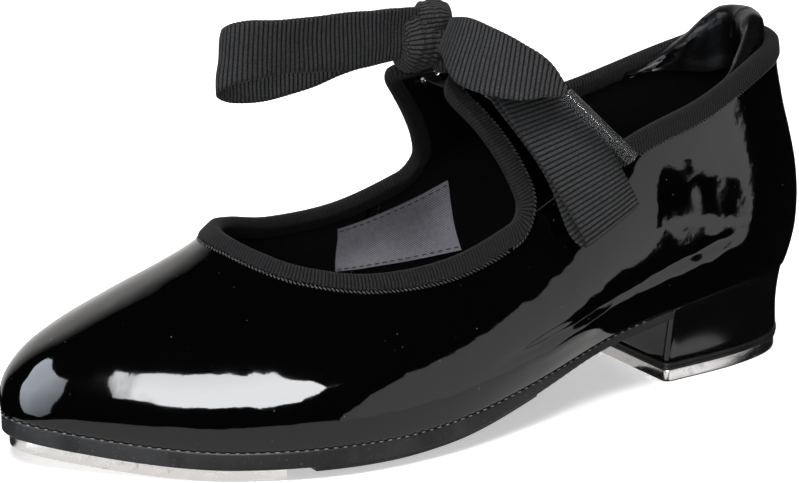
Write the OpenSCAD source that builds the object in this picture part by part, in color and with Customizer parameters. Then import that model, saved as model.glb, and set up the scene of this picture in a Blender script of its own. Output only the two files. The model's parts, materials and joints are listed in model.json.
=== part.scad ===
// Child's tap shoe for the left foot: patent upper, ribbon tie through two instep tabs,
// rubber sole, block heel and metal taps.
// +X points to the toe, +Y to the outer side of the foot and +Z up. The origin is on the
// ground under the middle of the whole shoe.

/* [Sole and heel] */
// Length of the sole from heel to toe
sole_length = 214; // [205:1:225]
// Width of the sole across the ball of the foot
ball_width = 77; // [73:0.5:82]
// Height of the sole's top face at the heel seat
seat_z = 24; // [21:0.5:27]
// Lift of the toe tip above the ball
toe_spring = 3.8; // [2:0.2:5]
// Thickness of the rubber outsole
sole_t = 4.2; // [3.8:0.1:4.4]
// Thickness of the rubber pad behind the toe tap
pad_t = 1.8; // [1.2:0.1:2.4]
// Thickness of the lift under the heel block
lift_t = 2; // [1.5:0.1:3]
// How far the heel block draws in at the ground
heel_draw = 5; // [3:0.5:7]
// Position of the heel's front face
heel_breast_x = -60.7; // [-62.7:0.5:-58.7]

/* [Taps] */
// Thickness of the metal taps
tap_t = 3.3; // [3:0.1:3.4]
// Position of the toe tap's straight rear edge
toe_tap_rear_x = 54.5; // [52:0.5:60]
// How far the taps stand in from the sole's edge
tap_inset = 1.8; // [1:0.1:3]
// Diameter of the tap screws
screw_d = 3; // [2.5:0.1:3.4]

/* [Upper] */
// Height of the back of the upper
back_height = 82.5; // [78:0.5:86]
// Thickness of the patent upper
upper_t = 1.1; // [0.9:0.05:1.3]
// Thickness of the textile linings
lining_t = 0.7; // [0.5:0.05:0.9]
// Thickness of the toe puff and the heel counter
stiffener_t = 0.8; // [0.5:0.1:1]
// Visible depth of the grosgrain binding
binding_depth = 3.8; // [3:0.1:4.5]
// Thickness of the grosgrain binding
binding_t = 0.7; // [0.5:0.05:0.8]

/* [Tie] */
// Width of the grosgrain ribbon
ribbon_w = 16; // [13:0.5:17]
// Thickness of the ribbon
ribbon_t = 0.7; // [0.5:0.05:0.9]
// Length of each loop of the bow
loop_length = 57; // [50:1:58]
// Hole in the instep eyelets
eyelet_d = 5; // [4.4:0.1:5.4]
// How far the tied tabs can rock fore and aft, in degrees
tie_flex = 8; // [4:1:9]

/* [Hidden] */

$fn = 48;
gap = 0.15;                       // clearance left between glued or stitched layers
touch = 0.02;                     // clearance left between faces pressed together
nominal_length = 214;             // size the stations below are drawn at
nominal_width = 77;
nominal_height = 82.5;
ball_z = tap_t + sole_t;          // height of the sole's top face at the ball
kx = sole_length / nominal_length;
ky = ball_width / nominal_width;
kz = back_height / nominal_height;
// The stations below are drawn about the middle of the sole; this is the middle of the
// whole shoe with its bow.
middle = [-2.5 * kx, 2.45 * ky, 0];

patent = [0.03, 0.03, 0.035];
rubber = [0.13, 0.13, 0.14];
grosgrain = [0.10, 0.10, 0.11];
textile = [0.20, 0.20, 0.22];
board = [0.55, 0.42, 0.28];
metal = [0.80, 0.81, 0.83];

// Stations run from the back seam along the outer side to the toe and back along the
// inner side. FEATHER is the outline where the upper meets the sole.
FEATHER = [
    [-107.5, 0], [-101.3, 14], [-86, 22], [-64, 25.5], [-39, 27.5], [-12, 34.5],
    [15, 39.5], [43, 39], [69, 29], [92, 9], [106, -9], [98, -25],
    [77, -34], [48, -37], [20, -35.5], [-9, -30], [-38, -27], [-64, -25.5],
    [-86, -22], [-101.3, -14]
];
// TOPLINE is the edge of the opening at the same stations.
TOPLINE = [
    [-102.5, 0, 82.5], [-98, 12, 82], [-86, 20, 79.5], [-66, 26, 73],
    [-42, 29.5, 67], [-13, 30.5, 53], [8, 31, 45.5], [28, 28, 43.5], [42, 20, 45],
    [49.5, 9.5, 47.5], [53, -3.5, 50], [48, -15.5, 49], [39, -24, 46.5],
    [25, -28.5, 43.5], [5, -29.5, 44.5], [-17, -29, 51.5], [-42, -28.5, 62.5],
    [-66, -25.5, 69], [-86, -20, 76], [-98.5, -12, 81]
];
// Fullness of the upper at each station: outward and upward handle at the sole, then
// outward and downward handle at the topline.
FULLNESS = [
    [7.5, 20, 2, 22], [7.5, 20, 2, 22], [6, 18, 2, 20], [5, 17, 3, 16],
    [8, 15, 4, 14], [6, 13, 5, 12], [3, 12, 7, 10], [3, 12, 10, 8], [4, 12, 12, 7],
    [4, 15, 15, 8.5], [3, 18, 17, 11], [6, 19, 12.5, 14.5], [5, 14, 9, 12], [3, 12.5, 8, 10],
    [3, 12, 7, 10], [5, 13, 6, 12], [7, 15, 4, 14], [5, 17, 3, 16], [6, 18, 2, 20],
    [7.5, 20, 2, 22]
];
stations = len(FEATHER);

// ---------- curves ----------

function lerp(a, b, t) = a + (b - a) * t;
function smooth(t) = let (s = min(1, max(0, t))) s * s * (3 - 2 * s);
function unit(v) = v / norm(v);
function spline(a, b, c, d, t) =
    0.5 * (2 * b + (c - a) * t + (2 * a - 5 * b + 4 * c - d) * t * t
           + (3 * b - a - 3 * c + d) * t * t * t);
// Point at u on the closed curve through the list P, one station per unit of u
function around(P, u) =
    let (n = len(P), i = floor(u), t = u - i)
    spline(P[(i + 2 * n - 1) % n], P[(i + 2 * n) % n], P[(i + 2 * n + 1) % n],
           P[(i + 2 * n + 2) % n], t);
// Point at t (0 to 1) on the open curve through the list P
function along(P, t) =
    let (n = len(P) - 1, i = min(n - 1, floor(t * n)), f = t * n - i,
         before = i > 0 ? P[i - 1] : 2 * P[0] - P[1],
         after = i < n - 1 ? P[i + 2] : 2 * P[n] - P[n - 1])
    spline(before, P[i], P[i + 1], after, f);
function bezier(a, b, c, d, t) =
    let (s = 1 - t) s*s*s * a + 3*s*s*t * b + 3*s*t*t * c + t*t*t * d;

// ---------- sole line ----------

arch_front_x = 32 * kx;           // the sole starts to rise here
arch_rear_x = -92 * kx;           // and reaches the heel seat here
spring_x = 66 * kx;               // the toe starts to lift here
toe_x = 106 * kx;
function sole_top(x) =
    lerp(ball_z, seat_z, smooth((arch_front_x - x) / (arch_front_x - arch_rear_x)))
    + toe_spring * pow(max(0, (x - spring_x) / (toe_x - spring_x)), 2);

function feather2d(u) = let (p = around(FEATHER, u)) [p[0] * kx, p[1] * ky];
function outward2d(u) =
    let (d = feather2d(u + 0.05) - feather2d(u - 0.05), l = norm(d)) [-d[1], d[0]] / l;
// Point on the sole's outline, drawn in by inset
function outline(u, inset) = feather2d(u) - inset * outward2d(u);

outline_steps = 80;
function outline_points(inset) =
    [for (i = [0 : outline_steps - 1]) outline(i * stations / outline_steps, inset)];

// The outsole thins towards the waist and stops in front of the heel
waist_t = 2.2;
function sole_bottom(x) =
    sole_top(x) - lerp(sole_t, waist_t, smooth((12 * kx - x) / (50 * kx)));

function backwards(list) = [for (i = [len(list) - 1 : -1 : 0]) list[i]];
// Plate with the outline drawn in by inset, between two lines of [x, z] points
module plate(inset, lower, upper) {
    intersection() {
        translate([0, 0, -20]) linear_extrude(80) polygon(outline_points(inset));
        rotate([90, 0, 0]) translate([0, 0, -60]) linear_extrude(120)
            polygon(concat(lower, backwards(upper)));
    }
}
function plate_xs(x0, x1) = [for (i = [0 : 40]) lerp(x0, x1, i / 40)];
heel_end = -112 * kx;
toe_end = 110 * kx;
// Plate that lies between two heights above the sole's top face
module sole_plate(inset, low, high, x0 = heel_end, x1 = toe_end) {
    xs = plate_xs(x0, x1);
    plate(inset, [for (x = xs) [x, sole_top(x) + low]],
                 [for (x = xs) [x, sole_top(x) + high]]);
}
// Plate of thickness t glued under the outsole
module under_plate(inset, t, x0, x1 = toe_end) {
    xs = plate_xs(x0, x1);
    plate(inset, [for (x = xs) [x, sole_bottom(x) - t]],
                 [for (x = xs) [x, sole_bottom(x) - touch]]);
}

// ---------- upper surface ----------

function topline(u) =
    let (p = around(TOPLINE, u)) [p[0] * kx, p[1] * ky, p[2] * kz];
function feather(u) = let (p = feather2d(u)) [p[0], p[1], sole_top(p[0]) + gap];
function outward(u) = let (n = outward2d(u)) [n[0], n[1], 0];
function face_point(u, v) =
    let (full = around(FULLNESS, u), f = feather(u), t = topline(u), n = outward(u))
    bezier(f, f + full[0] * n + [0, 0, full[1]], t + full[2] * n - [0, 0, full[3]], t, v);
function along_v(u, v) = face_point(u, v + 0.01) - face_point(u, v - 0.01);
function normal(u, v) =
    unit(cross(along_v(u, v), face_point(u + 0.05, v) - face_point(u - 0.05, v)));
// Point in the wall, off millimetres inside the outer face
function wall(u, v, off) = face_point(u, v) - off * normal(u, v);
// Point in the wall, depth millimetres below the topline (above it when negative)
function edge_point(u, depth, off) =
    let (up = along_v(u, 0.99), reach = norm(up) / 0.02)
    depth >= 0 ? wall(u, 1 - depth / reach, off)
               : wall(u, 1, off) - depth * unit(up);

// ---------- solids from grids of points ----------

function flat(list) = [for (row = list) for (p = row) p];
function quad(a, b, c, d) = [[a, b, c], [a, c, d]];
// Closed solid between two grids of the same size. The front grid faces the side from
// which its second index runs to the right of its first. A ring closes on itself.
module sheet(front, back, ring = false) {
    n = len(front);
    m = len(front[0]);
    last = ring ? n - 1 : n - 2;
    size = n * m;
    function f(i, j) = (i % n) * m + j;
    function b(i, j) = size + f(i, j);
    skins = [for (i = [0 : last]) for (j = [0 : m - 2]) for (t = concat(
        quad(f(i, j), f(i + 1, j), f(i + 1, j + 1), f(i, j + 1)),
        quad(b(i, j), b(i, j + 1), b(i + 1, j + 1), b(i + 1, j)))) t];
    rims = [for (i = [0 : last]) for (t = concat(
        quad(f(i, 0), b(i, 0), b(i + 1, 0), f(i + 1, 0)),
        quad(f(i, m - 1), f(i + 1, m - 1), b(i + 1, m - 1), b(i, m - 1)))) t];
    ends = ring ? [] : [for (j = [0 : m - 2]) for (t = concat(
        quad(f(0, j), f(0, j + 1), b(0, j + 1), b(0, j)),
        quad(f(n - 1, j), b(n - 1, j), b(n - 1, j + 1), f(n - 1, j + 1)))) t];
    polyhedron(concat(flat(front), flat(back)), concat(skins, rims, ends), convexity = 8);
}
// Closed solid through rows of points that each run once around a section
module skin(rows) {
    n = len(rows);
    m = len(rows[0]);
    sides = [for (i = [0 : n - 2]) for (j = [0 : m - 1]) for (t = quad(
        i * m + j, i * m + (j + 1) % m, (i + 1) * m + (j + 1) % m, (i + 1) * m + j)) t];
    caps = concat([for (j = [1 : m - 2]) [0, j + 1, j]],
                  [for (j = [1 : m - 2]) [(n-1) * m, (n-1) * m + j, (n-1) * m + j + 1]]);
    polyhedron(flat(rows), concat(sides, caps), convexity = 8);
}
// Part of the wall between two depths off0 and off1, over a patch of u and v
module wall_patch(u0, u1, v0, v1, nu, nv, off0, off1) {
    function grid(off) = [for (i = [0 : nu]) [for (j = [0 : nv])
        wall(lerp(u0, u1, i / nu), lerp(v0, v1, j / nv), off)]];
    sheet(grid(off0), grid(off1));
}

// ---------- lower half of the shoe ----------

board_t = 1.6;
sock_t = 1.8;
margin_w = 8;                     // width of the upper turned under the insole board
margin_top = gap + upper_t;       // height of that turned edge above the sole
board_low = margin_top + gap;
wall_t = upper_t + stiffener_t + lining_t + 3 * gap;
bore_d = screw_d + 0.04;
head_d = 2 * screw_d;
heel_mid_x = -84 * kx;
toe_screws = [[72, -24], [72, 8], [90, -9]];
seat_screws = [for (a = [0, 120, 240]) [heel_mid_x + 14 * cos(a), 8 * sin(a)]];
heel_tap_points = [for (a = [180, 60, -60]) [heel_mid_x + 12 * cos(a), 11 * sin(a)]];

module at_each(points) {
    for (p = points) translate([p[0], p[1], 0]) children();
}
module screw_holes(points, z0 = -10) {
    at_each(points) translate([0, 0, z0]) cylinder(h = 60, d = bore_d);
}
module head_holes(points, z1) {
    at_each(points) translate([0, 0, -5]) cylinder(h = 5 + z1, d = head_d + 0.04);
}

module outsole() {
    xs = plate_xs(heel_breast_x + breast_lean + 0.3, toe_end);
    color(rubber) difference() {
        plate(0, [for (x = xs) [x, sole_bottom(x)]], [for (x = xs) [x, sole_top(x)]]);
        screw_holes(toe_screws);
    }
}

pad_rear_x = -17 * kx;
pad_gap = 2.9;                     // between the pad and the toe tap
module forefoot_pad() {
    color(rubber) under_plate(2, pad_t, pad_rear_x, toe_tap_rear_x - pad_gap);
}

module toe_tap() {
    color(metal) difference() {
        under_plate(tap_inset, tap_t, toe_tap_rear_x);
        screw_holes(toe_screws);
        head_holes(toe_screws, 1.4);
    }
}

// Section of the heel at height fraction h (0 at the ground, 1 at the heel seat): the
// sides draw in towards the ground, the back stays nearly upright and the front is flat
heel_turns = 26;
breast_lean = 1.7;                // the heel's front face leans forward this much
function heel_section(h, inset) =
    let (draw = 1 - heel_draw / 25 * (1 - pow(h, 1.5)),
         breast = heel_breast_x + breast_lean * h,
         last_u = 3 + (breast / kx - FEATHER[3][0]) / (FEATHER[4][0] - FEATHER[3][0]))
    [for (i = [0 : heel_turns])
        let (p = outline(lerp(-last_u, last_u, i / heel_turns), inset))
        [i == 0 || i == heel_turns ? breast : p[0], p[1] * draw]];
heel_height = seat_z;
heel_low = tap_t + lift_t + touch;
heel_inset = 0.6;
module heel_slab(z0, z1, inset) {
    h = z0 / heel_height;
    translate([0, 0, z0]) linear_extrude(z1 - z0) polygon(heel_section(h, inset));
}
module heel_block() {
    levels = 6;
    rows = [for (k = [0 : levels])
        let (h = lerp(heel_low / heel_height, 1, k / levels))
        [for (p = heel_section(h, heel_inset))
            [p[0], p[1], lerp(heel_low, sole_top(p[0]) - touch, k / levels)]]];
    color(patent) difference() {
        skin(rows);
        screw_holes(seat_screws, heel_low + 4);
        at_each(heel_tap_points) cylinder(h = heel_low + 9, d = bore_d);
    }
}

module heel_lift() {
    color(rubber) difference() {
        heel_slab(tap_t, tap_t + lift_t, 0.3);
        screw_holes(heel_tap_points);
    }
}

module heel_tap() {
    color(metal) difference() {
        heel_slab(0, tap_t - touch, 0.9);
        screw_holes(heel_tap_points);
        head_holes(heel_tap_points, 1.4);
    }
}

// Screw with its slotted head sunk into a tap from below
module tap_screw(length) {
    difference() {
        cylinder(h = 1.2, d = head_d);
        cube([head_d + 1, 0.7, 1], center = true);
    }
    cylinder(h = length, d = screw_d);
}
module toe_tap_screws() {
    color(metal) at_each(toe_screws) translate([0, 0, 0.18]) tap_screw(8);
}
module heel_tap_screws() {
    color(metal) at_each(heel_tap_points) translate([0, 0, 0.18]) tap_screw(13);
}

// Screws from the insole board down into the heel block
module heel_seat_screws() {
    z0 = heel_low + 4.2;
    color(metal) at_each(seat_screws) translate([0, 0, z0])
        cylinder(h = sole_top(heel_mid_x + 14) + board_low + board_t - 0.8 - z0, d = screw_d);
}

module insole_board() {
    color(board) difference() {
        sole_plate(upper_t + gap, board_low, board_low + board_t);
        screw_holes(concat(toe_screws, seat_screws));
    }
}

shank_half_w = 6;
shank_y = 1;
module shank() {
    color(metal) intersection() {
        sole_plate(0, 0.05, margin_top - 0.05, (heel_mid_x + 17), 4 * kx);
        translate([-120, shank_y - shank_half_w, -10]) cube([240, 2 * shank_half_w, 60]);
    }
}

module forefoot_filler() {
    color(board) difference() {
        sole_plate(margin_w + 1, 0.05, margin_top, 8 * kx);
        screw_holes(toe_screws);
    }
}

module sock_lining() {
    color(textile) sole_plate(wall_t + 0.9, board_low + board_t + 0.05,
                              board_low + board_t + sock_t);
}

// ---------- upper and its layers ----------

upper_turns = 80;
upper_rows = 10;
module upper() {
    us = [for (i = [0 : upper_turns - 1]) i * stations / upper_turns];
    function under(u, inset, z) =
        let (p = outline(u, inset)) [p[0], p[1], sole_top(p[0]) + z];
    outer = [for (u = us) concat([under(u, margin_w, gap)],
        [for (j = [0 : upper_rows]) face_point(u, j / upper_rows)])];
    inner = [for (u = us) concat(
        [under(u, margin_w, margin_top), under(u, 0.85 * upper_t, margin_top)],
        [for (j = [1 : upper_rows]) wall(u, j / upper_rows, upper_t)])];
    color(patent) sheet(outer, inner, ring = true);
}

module back_stay() {
    color(patent) wall_patch(-0.32, 0.32, 0.01, 0.8, 4, 8, -0.85, -0.08);
}

lining_low = upper_t + stiffener_t + 3 * gap;
// Depth of the lining in the wall: close to the upper near the topline, and behind the
// stiffeners lower down
function lining_off(v) = lerp(upper_t + gap, lining_low, smooth((0.9 - v) / 0.22));
module lining_patch(u0, u1, turns) {
    rows = 8;
    v_low = 0.14;
    function grid(extra) = [for (i = [0 : turns]) [for (j = [0 : rows])
        let (v = lerp(v_low, 1, j / rows))
        wall(lerp(u0, u1, i / turns), v, lining_off(v) + extra)]];
    sheet(grid(0), grid(lining_t));
}
lining_joint_u = 5.6;             // side seam between the two linings
module vamp_lining() {
    color(textile) lining_patch(lining_joint_u, stations - lining_joint_u, 36);
}
module quarter_lining() {
    color(textile) lining_patch(-lining_joint_u + 0.06, lining_joint_u - 0.06, 44);
}

module toe_puff() {
    color(board) wall_patch(7.4, 12.6, 0.13, 0.42, 20, 5, upper_t + 2.2 * gap,
                            upper_t + gap + stiffener_t);
}
module heel_counter() {
    color(board) wall_patch(-3.6, 3.6, 0.13, 0.66, 24, 5, upper_t + 1.4 * gap,
                            upper_t + gap + stiffener_t);
}

// Section of the strip folded over the topline, in depth below the edge and offset into
// the wall: the strip's inner face when b is 0, its outer face when b is its thickness
binding_in = upper_t + gap + lining_t;
function binding_fold(b) =
    let (o = -0.28, i = binding_in + 0.35, d = binding_depth)
    [[d, o - b * 0.8], [0.4, o - b], [-0.4, o - b * 0.7], [-0.5 - b, o + 0.5],
     [-0.5 - b, i - 0.5], [-0.4, i + b * 0.7], [0.4, i + b], [d, i + b * 0.8]];
module binding(u0, u1, turns) {
    function grid(b) = [for (i = [0 : turns]) let (u = lerp(u0, u1, i / turns))
        [for (p = binding_fold(b)) edge_point(u, p[0], p[1])]];
    sheet(grid(binding_t), grid(0));
}

tab_front_u = 5.06;
tab_rear_u = 4.2;
module throat_binding() {
    color(grosgrain) binding(tab_front_u + 0.06, stations - tab_front_u - 0.06, 50);
}
module rear_binding() {
    color(grosgrain) binding(-tab_rear_u + 0.06, tab_rear_u - 0.06, 44);
}

// Heel collar: a padded roll inside the back that stands above the binding
collar_end_u = 2.6;
collar_rise = 6.5;                // height of the roll above the topline at the back
collar_depth = 9;                 // depth of its sewn edge below the topline
collar_half_t = 3.2;
function collar_shape(u) = smooth(1.6 * (1 - abs(u) / collar_end_u));
// Point on the roll's section: a runs around it from the outer foot over the top to the
// inner foot, and shrink draws the section in
function collar_point(u, a, shrink, lift) =
    let (shape = collar_shape(u), inward = -outward(u),
         half_t = collar_half_t * lerp(0.4, 1, shape) - shrink,
         clear = binding_in + 0.3 + binding_t + 0.4,
         foot = edge_point(u, collar_depth * lerp(0.3, 1, shape),
                           clear + collar_half_t * lerp(0.4, 1, shape)),
         top = topline(u) + inward * (clear + collar_half_t * lerp(0.4, 1, shape))
               + [0, 0, lerp(-1, collar_rise, shape) - half_t - shrink],
         t = min(1, max(0, (a < 0.4 ? a : 1 - a) / 0.4)),
         turn = 180 * min(1, max(0, (a - 0.4) / 0.2)))
    lerp(foot, top, t) + [0, 0, lift * (1 - t)]
        - inward * half_t * cos(turn) + [0, 0, half_t * sin(turn)];
collar_turns = 28;
collar_arc = 15;
function collar_grid(shrink) =
    [for (i = [0 : collar_turns]) let (u = lerp(-collar_end_u, collar_end_u, i / collar_turns))
        [for (k = [0 : collar_arc]) collar_point(u, k / collar_arc, shrink, 0)]];
module collar_cover() {
    color(patent) sheet(collar_grid(0), collar_grid(0.6));
}
module collar_foam() {
    function side(outer) = [for (i = [0 : collar_turns])
        let (u = lerp(-0.96, 0.96, i / collar_turns) * collar_end_u)
        [for (k = [0 : 7]) collar_point(u, outer ? k / 15 : 1 - k / 15, 0.8, 0.4)]];
    color(board) sheet(side(true), side(false));
}

// Blank woven label on the lining of the inner side
module content_label() {
    rows = 3;
    turns = 6;
    function grid(extra) = [for (i = [0 : turns]) [for (j = [0 : rows])
        let (u = lerp(14.05, 15.4, i / turns) + 0.3 * (1 - j / rows),
             depth = lerp(lerp(21, 24, i / turns), 7, j / rows),
             reach = norm(along_v(u, 0.99)) / 0.02, v = 1 - depth / reach)
        wall(u, v, lining_off(v) + lining_t + gap + extra)]];
    color([0.55, 0.56, 0.58]) sheet(grid(0), grid(0.35));
}

// ---------- instep tabs ----------

tab_reach = 15;                   // half width of a tab at its base
tab_gap = tab_reach * sin(tie_flex) + 0.75;
tab_end = [-7.5, 6.5, 84.5];      // middle of the lateral tab's end
tab_end_half = [11, 1.5, -1.5];   // half width at the end, towards the toe
tab_end_shift = [-1.2, 0, 0];     // the lateral tab's end sits this much further back
tab_end_dir = unit([4, -11, 2.6]);

// The two tabs mirror each other, except where they meet the topline. side is 1 for the
// lateral tab and -1 for the medial one.
function sided(p, side) = [p[0], p[1] * side, p[2]];
// Point on a tab: w runs from the front edge to the rear edge, s from base to end
function tab_face(side, w, s) =
    let (from_back = lerp(tab_front_u, tab_rear_u, w),
         u = side > 0 ? from_back : stations - from_back,
         base = edge_point(u, -tab_gap, 0),
         up = unit(along_v(u, 0.99)),
         narrow = sqrt(max(0, 1 - pow(max(0, (s - 0.7) / 0.3), 2) * 0.75)),
         e = sided(tab_end + tab_end_half * (1 - 2 * w) * narrow, side)
             + side * tab_end_shift)
    bezier(base, base + 11 * up, e - 13 * sided(tab_end_dir, side), e, s);
function tab_normal(side, w, s) =
    side * unit(cross(tab_face(side, w, s + 0.01) - tab_face(side, w, s - 0.01),
                      tab_face(side, w - 0.02, s) - tab_face(side, w + 0.02, s)));
function tab_point(side, w, s, off) =
    tab_face(side, w, s) - off * tab_normal(side, w, s);

tab_across = 6;
tab_along = 12;
tab_margin = 0.075;               // the binding covers this share of each edge
eyelet_s = 0.74;

module at_eyelet(side) {
    d = tab_normal(side, 0.5, eyelet_s);
    translate(tab_point(side, 0.5, eyelet_s, 0))
        rotate([0, acos(d[2]), atan2(d[1], d[0])]) children();
}
module tab_layer(side, off0, off1) {
    order = side > 0 ? [tab_across : -1 : 0] : [0 : tab_across];
    function grid(off) = [for (i = order) [for (j = [0 : tab_along])
        tab_point(side, lerp(tab_margin, 1 - tab_margin, i / tab_across),
                  lerp(0, 0.95, j / tab_along), off)]];
    difference() {
        sheet(grid(off0), grid(off1));
        at_eyelet(side) translate([0, 0, -6]) cylinder(h = 12, d = eyelet_d + 1);
    }
}
// Folded strip up the front edge, round the end and down the rear edge
module tab_binding(side) {
    steps = 30;
    inner = binding_in + 0.25;
    outer = -0.2;
    path = [for (k = [0 : steps]) let (t = k / steps)
        t < 0.4 ? [0, 0.98 * t / 0.4]
        : t > 0.6 ? [1, 0.98 * (1 - t) / 0.4]
        : [(t - 0.4) / 0.2, 0.98]];
    // Share of the way to the tab's middle and offset into the tab, as in binding_fold
    function fold(b) = let (k = b / binding_t)
        [[0.22, outer - b], [0.12, outer - b], [0.03 - 0.04 * k, outer - b],
         [0.03 - 0.08 * k, 0.4], [0.03 - 0.08 * k, inner - 0.4],
         [0.03 - 0.04 * k, inner + b], [0.12, inner + b], [0.22, inner + b]];
    function grid(b) = [for (q = side > 0 ? backwards(path) : path)
        let (mid = [0.5, min(q[1], 0.55)]) [for (p = fold(b))
            let (r = q + (mid - q) * p[0]) tab_point(side, r[0], r[1], p[1])]];
    color(grosgrain) sheet(grid(binding_t), grid(0));
}
module eyelet(side) {
    color(metal) at_eyelet(side) rotate_extrude() translate([eyelet_d / 2, 0])
        polygon([[0, -2.5], [0.4, -2.5], [0.4, 0.15], [1.6, 0.15], [1.3, 0.7], [0, 0.7]]);
}

module tab_upper(side) { color(patent) tab_layer(side, 0, upper_t); }
module tab_lining(side) {
    color(textile) tab_layer(side, upper_t + gap, upper_t + gap + lining_t);
}
module lateral_tab() { tab_upper(1); }
module lateral_tab_lining() { tab_lining(1); }
module lateral_tab_binding() { tab_binding(1); }
module lateral_eyelet() { eyelet(1); }
module medial_tab() { tab_upper(-1); }
module medial_tab_lining() { tab_lining(-1); }
module medial_tab_binding() { tab_binding(-1); }
module medial_eyelet() { eyelet(-1); }

// ---------- ribbon bow ----------

knot = [-5, -1, 93];
knot_size = [9, 7, 7.2];
// Ellipsoid with flattened sides
module blob(centre, size) {
    turns = 20;
    rows = 10;
    function r(a) = pow(abs(cos(a)), 0.8) * sign(cos(a));
    skin([for (j = [0 : rows]) let (b = lerp(-86, 86, j / rows)) [for (i = [turns - 1 : -1 : 0])
        let (a = i * 360 / turns)
        centre + [size[0] * r(a) * cos(b), size[1] * r(a - 90) * cos(b), size[2] * sin(b)]]]);
}
module bow_knot() { color(grosgrain) blob(knot, knot_size); }

// Ribbon along a list of [middle, half width vector] stations
module ribbon(list, steps, thickness = ribbon_t) {
    mid = [for (q = list) q[0]];
    half = [for (q = list) q[1]];
    function frame_at(t) =
        let (p = along(mid, t), h = along(half, t),
             d = along(mid, min(1, t + 0.01)) - along(mid, max(0, t - 0.01)),
             n = unit(cross(d, h)))
        [p, h, n];
    function row(t, side) = let (f = frame_at(t))
        [for (k = [-1, 0, 1]) f[0] + k * f[1] + side * thickness / 2 * f[2]];
    sheet([for (i = [0 : steps]) row(i / steps, -1)],
          [for (i = [0 : steps]) row(i / steps, 1)]);
}

rh = ribbon_w / 2;
module front_loop() {
    reach = knot[0] + loop_length;
    color(grosgrain) ribbon([
        [[knot[0] + 10.5, 3, 94.3], rh * 0.8 * unit([0, 0.05, 1])],
        [[knot[0] + 27, 5.5, 94.8], rh * unit([0.17, 0.32, 0.93])],
        [[reach - 14, 5, 95.4], rh * unit([0.19, 0.38, 0.91])],
        [[reach - 3, 3, 95], rh * unit([0.08, 0.27, 0.96])],
        [[reach + 1, -1.5, 92.3], rh * unit([-0.06, 0.06, 1])],
        [[reach - 5, -7, 88.5], rh * unit([-0.13, -0.24, 0.96])],
        [[reach - 15, -8.5, 87.4], rh * unit([-0.04, -0.1, 1])],
        [[reach - 27, -8, 89.1], rh * unit([-0.06, -0.06, 1])],
        [[knot[0] + 20, -6, 91.3], rh * 0.9 * unit([0, 0.05, 1])],
        [[knot[0] + 10.5, -3.5, 92.8], rh * 0.8 * unit([-0.05, 0, 1])]
    ], 45);
}

module side_loop() {
    color(grosgrain) ribbon([
        [[-11.5, 12, 85.5], rh * 0.7 * unit([0.9, -0.3, 0.2])],
        [[-16, 24, 79.5], rh * unit([0.95, -0.2, -0.15])],
        [[-22, 34.5, 67], rh * unit([0.9, -0.2, -0.4])],
        [[-26, 39, 53.5], rh * unit([0.77, -0.27, -0.58])],
        [[-28.3, 42.5, 52], rh * unit([0.77, -0.27, -0.58])],
        [[-21, 38, 67.5], rh * unit([0.88, -0.25, -0.4])],
        [[-15.3, 28, 80.5], rh * unit([0.95, -0.2, -0.2])],
        [[-12, 14, 88.5], rh * 0.7 * unit([0.9, -0.3, 0.2])]
    ], 36);
}

module outer_tail() {
    color(grosgrain) ribbon([
        [[-1.5, 12, 94.5], rh * 0.62 * unit([-0.4, 0, 0.92])],
        [[-2, 19.5, 92], rh * unit([-0.4, -0.15, 0.9])],
        [[-8.5, 30, 89], rh * unit([-0.46, -0.5, 0.7])],
        [[-14.8, 34.4, 86.8], rh * 0.6 * unit([-0.5, -0.5, 0.7])],
        [[-17.3, 35.2, 85.1], rh * 0.2 * unit([-0.5, -0.3, 0.8])]
    ], 16);
}
module inner_tail() {
    color(grosgrain) ribbon([
        [[-9, -13, 93.5], rh * 0.75 * unit([-0.45, 0, 0.9])],
        [[-14, -22, 91], rh * unit([-0.5, 0, 0.86])],
        [[-21, -30, 85], rh * 0.95 * unit([-0.5, 0, 0.86])],
        [[-27, -35, 78], rh * 0.2 * unit([-0.5, 0, 0.86])]
    ], 12);
}

// Clear plastic tube pressed on the end of a ribbon
module aglet(from, to) {
    d = unit(to - from);
    color([0.8, 0.8, 0.82]) translate(from) rotate([0, acos(d[2]), atan2(d[1], d[0])])
        difference() {
            cylinder(h = norm(to - from), d = 3.2);
            translate([0, 0, -1]) cylinder(h = norm(to - from) + 2, d = 2.2);
        }
}
module outer_aglet() { aglet([-18.7, 36.3, 83.2], [-31.2, 46.5, 68]); }
module inner_aglet() { aglet([-27.5, -35.5, 77], [-33.5, -41.5, 60]); }

// Strand of the ribbon that passes through both eyelets under the ends of the tabs
module eyelet_strand() {
    function at(side, out) = tab_point(side, 0.5, eyelet_s, -out);
    half = [1.8, 0, 0];
    inside = at(1, -3);
    color(grosgrain) ribbon([
        [at(1, 1.4), half], [inside, half],
        [[inside[0], 5, inside[2] - 1], half], [[inside[0], -5, inside[2] - 1], half],
        [at(-1, -3), half], [at(-1, 1.4), half]
    ], 20);
}

module placed() { translate(-middle) children(); }

placed() outsole();
placed() forefoot_pad();
placed() heel_block();
placed() heel_lift();
placed() heel_tap();
placed() toe_tap();
placed() toe_tap_screws();
placed() heel_tap_screws();
placed() heel_seat_screws();
placed() insole_board();
placed() shank();
placed() forefoot_filler();
placed() sock_lining();
placed() upper();
placed() back_stay();
placed() vamp_lining();
placed() quarter_lining();
placed() toe_puff();
placed() heel_counter();
placed() collar_cover();
placed() collar_foam();
placed() throat_binding();
placed() rear_binding();
placed() content_label();
placed() lateral_tab();
placed() lateral_tab_lining();
placed() lateral_tab_binding();
placed() lateral_eyelet();
placed() medial_tab();
placed() medial_tab_lining();
placed() medial_tab_binding();
placed() medial_eyelet();
placed() bow_knot();
placed() eyelet_strand();
placed() front_loop();
placed() side_loop();
placed() outer_tail();
placed() outer_aglet();
placed() inner_tail();
placed() inner_aglet();
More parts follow.
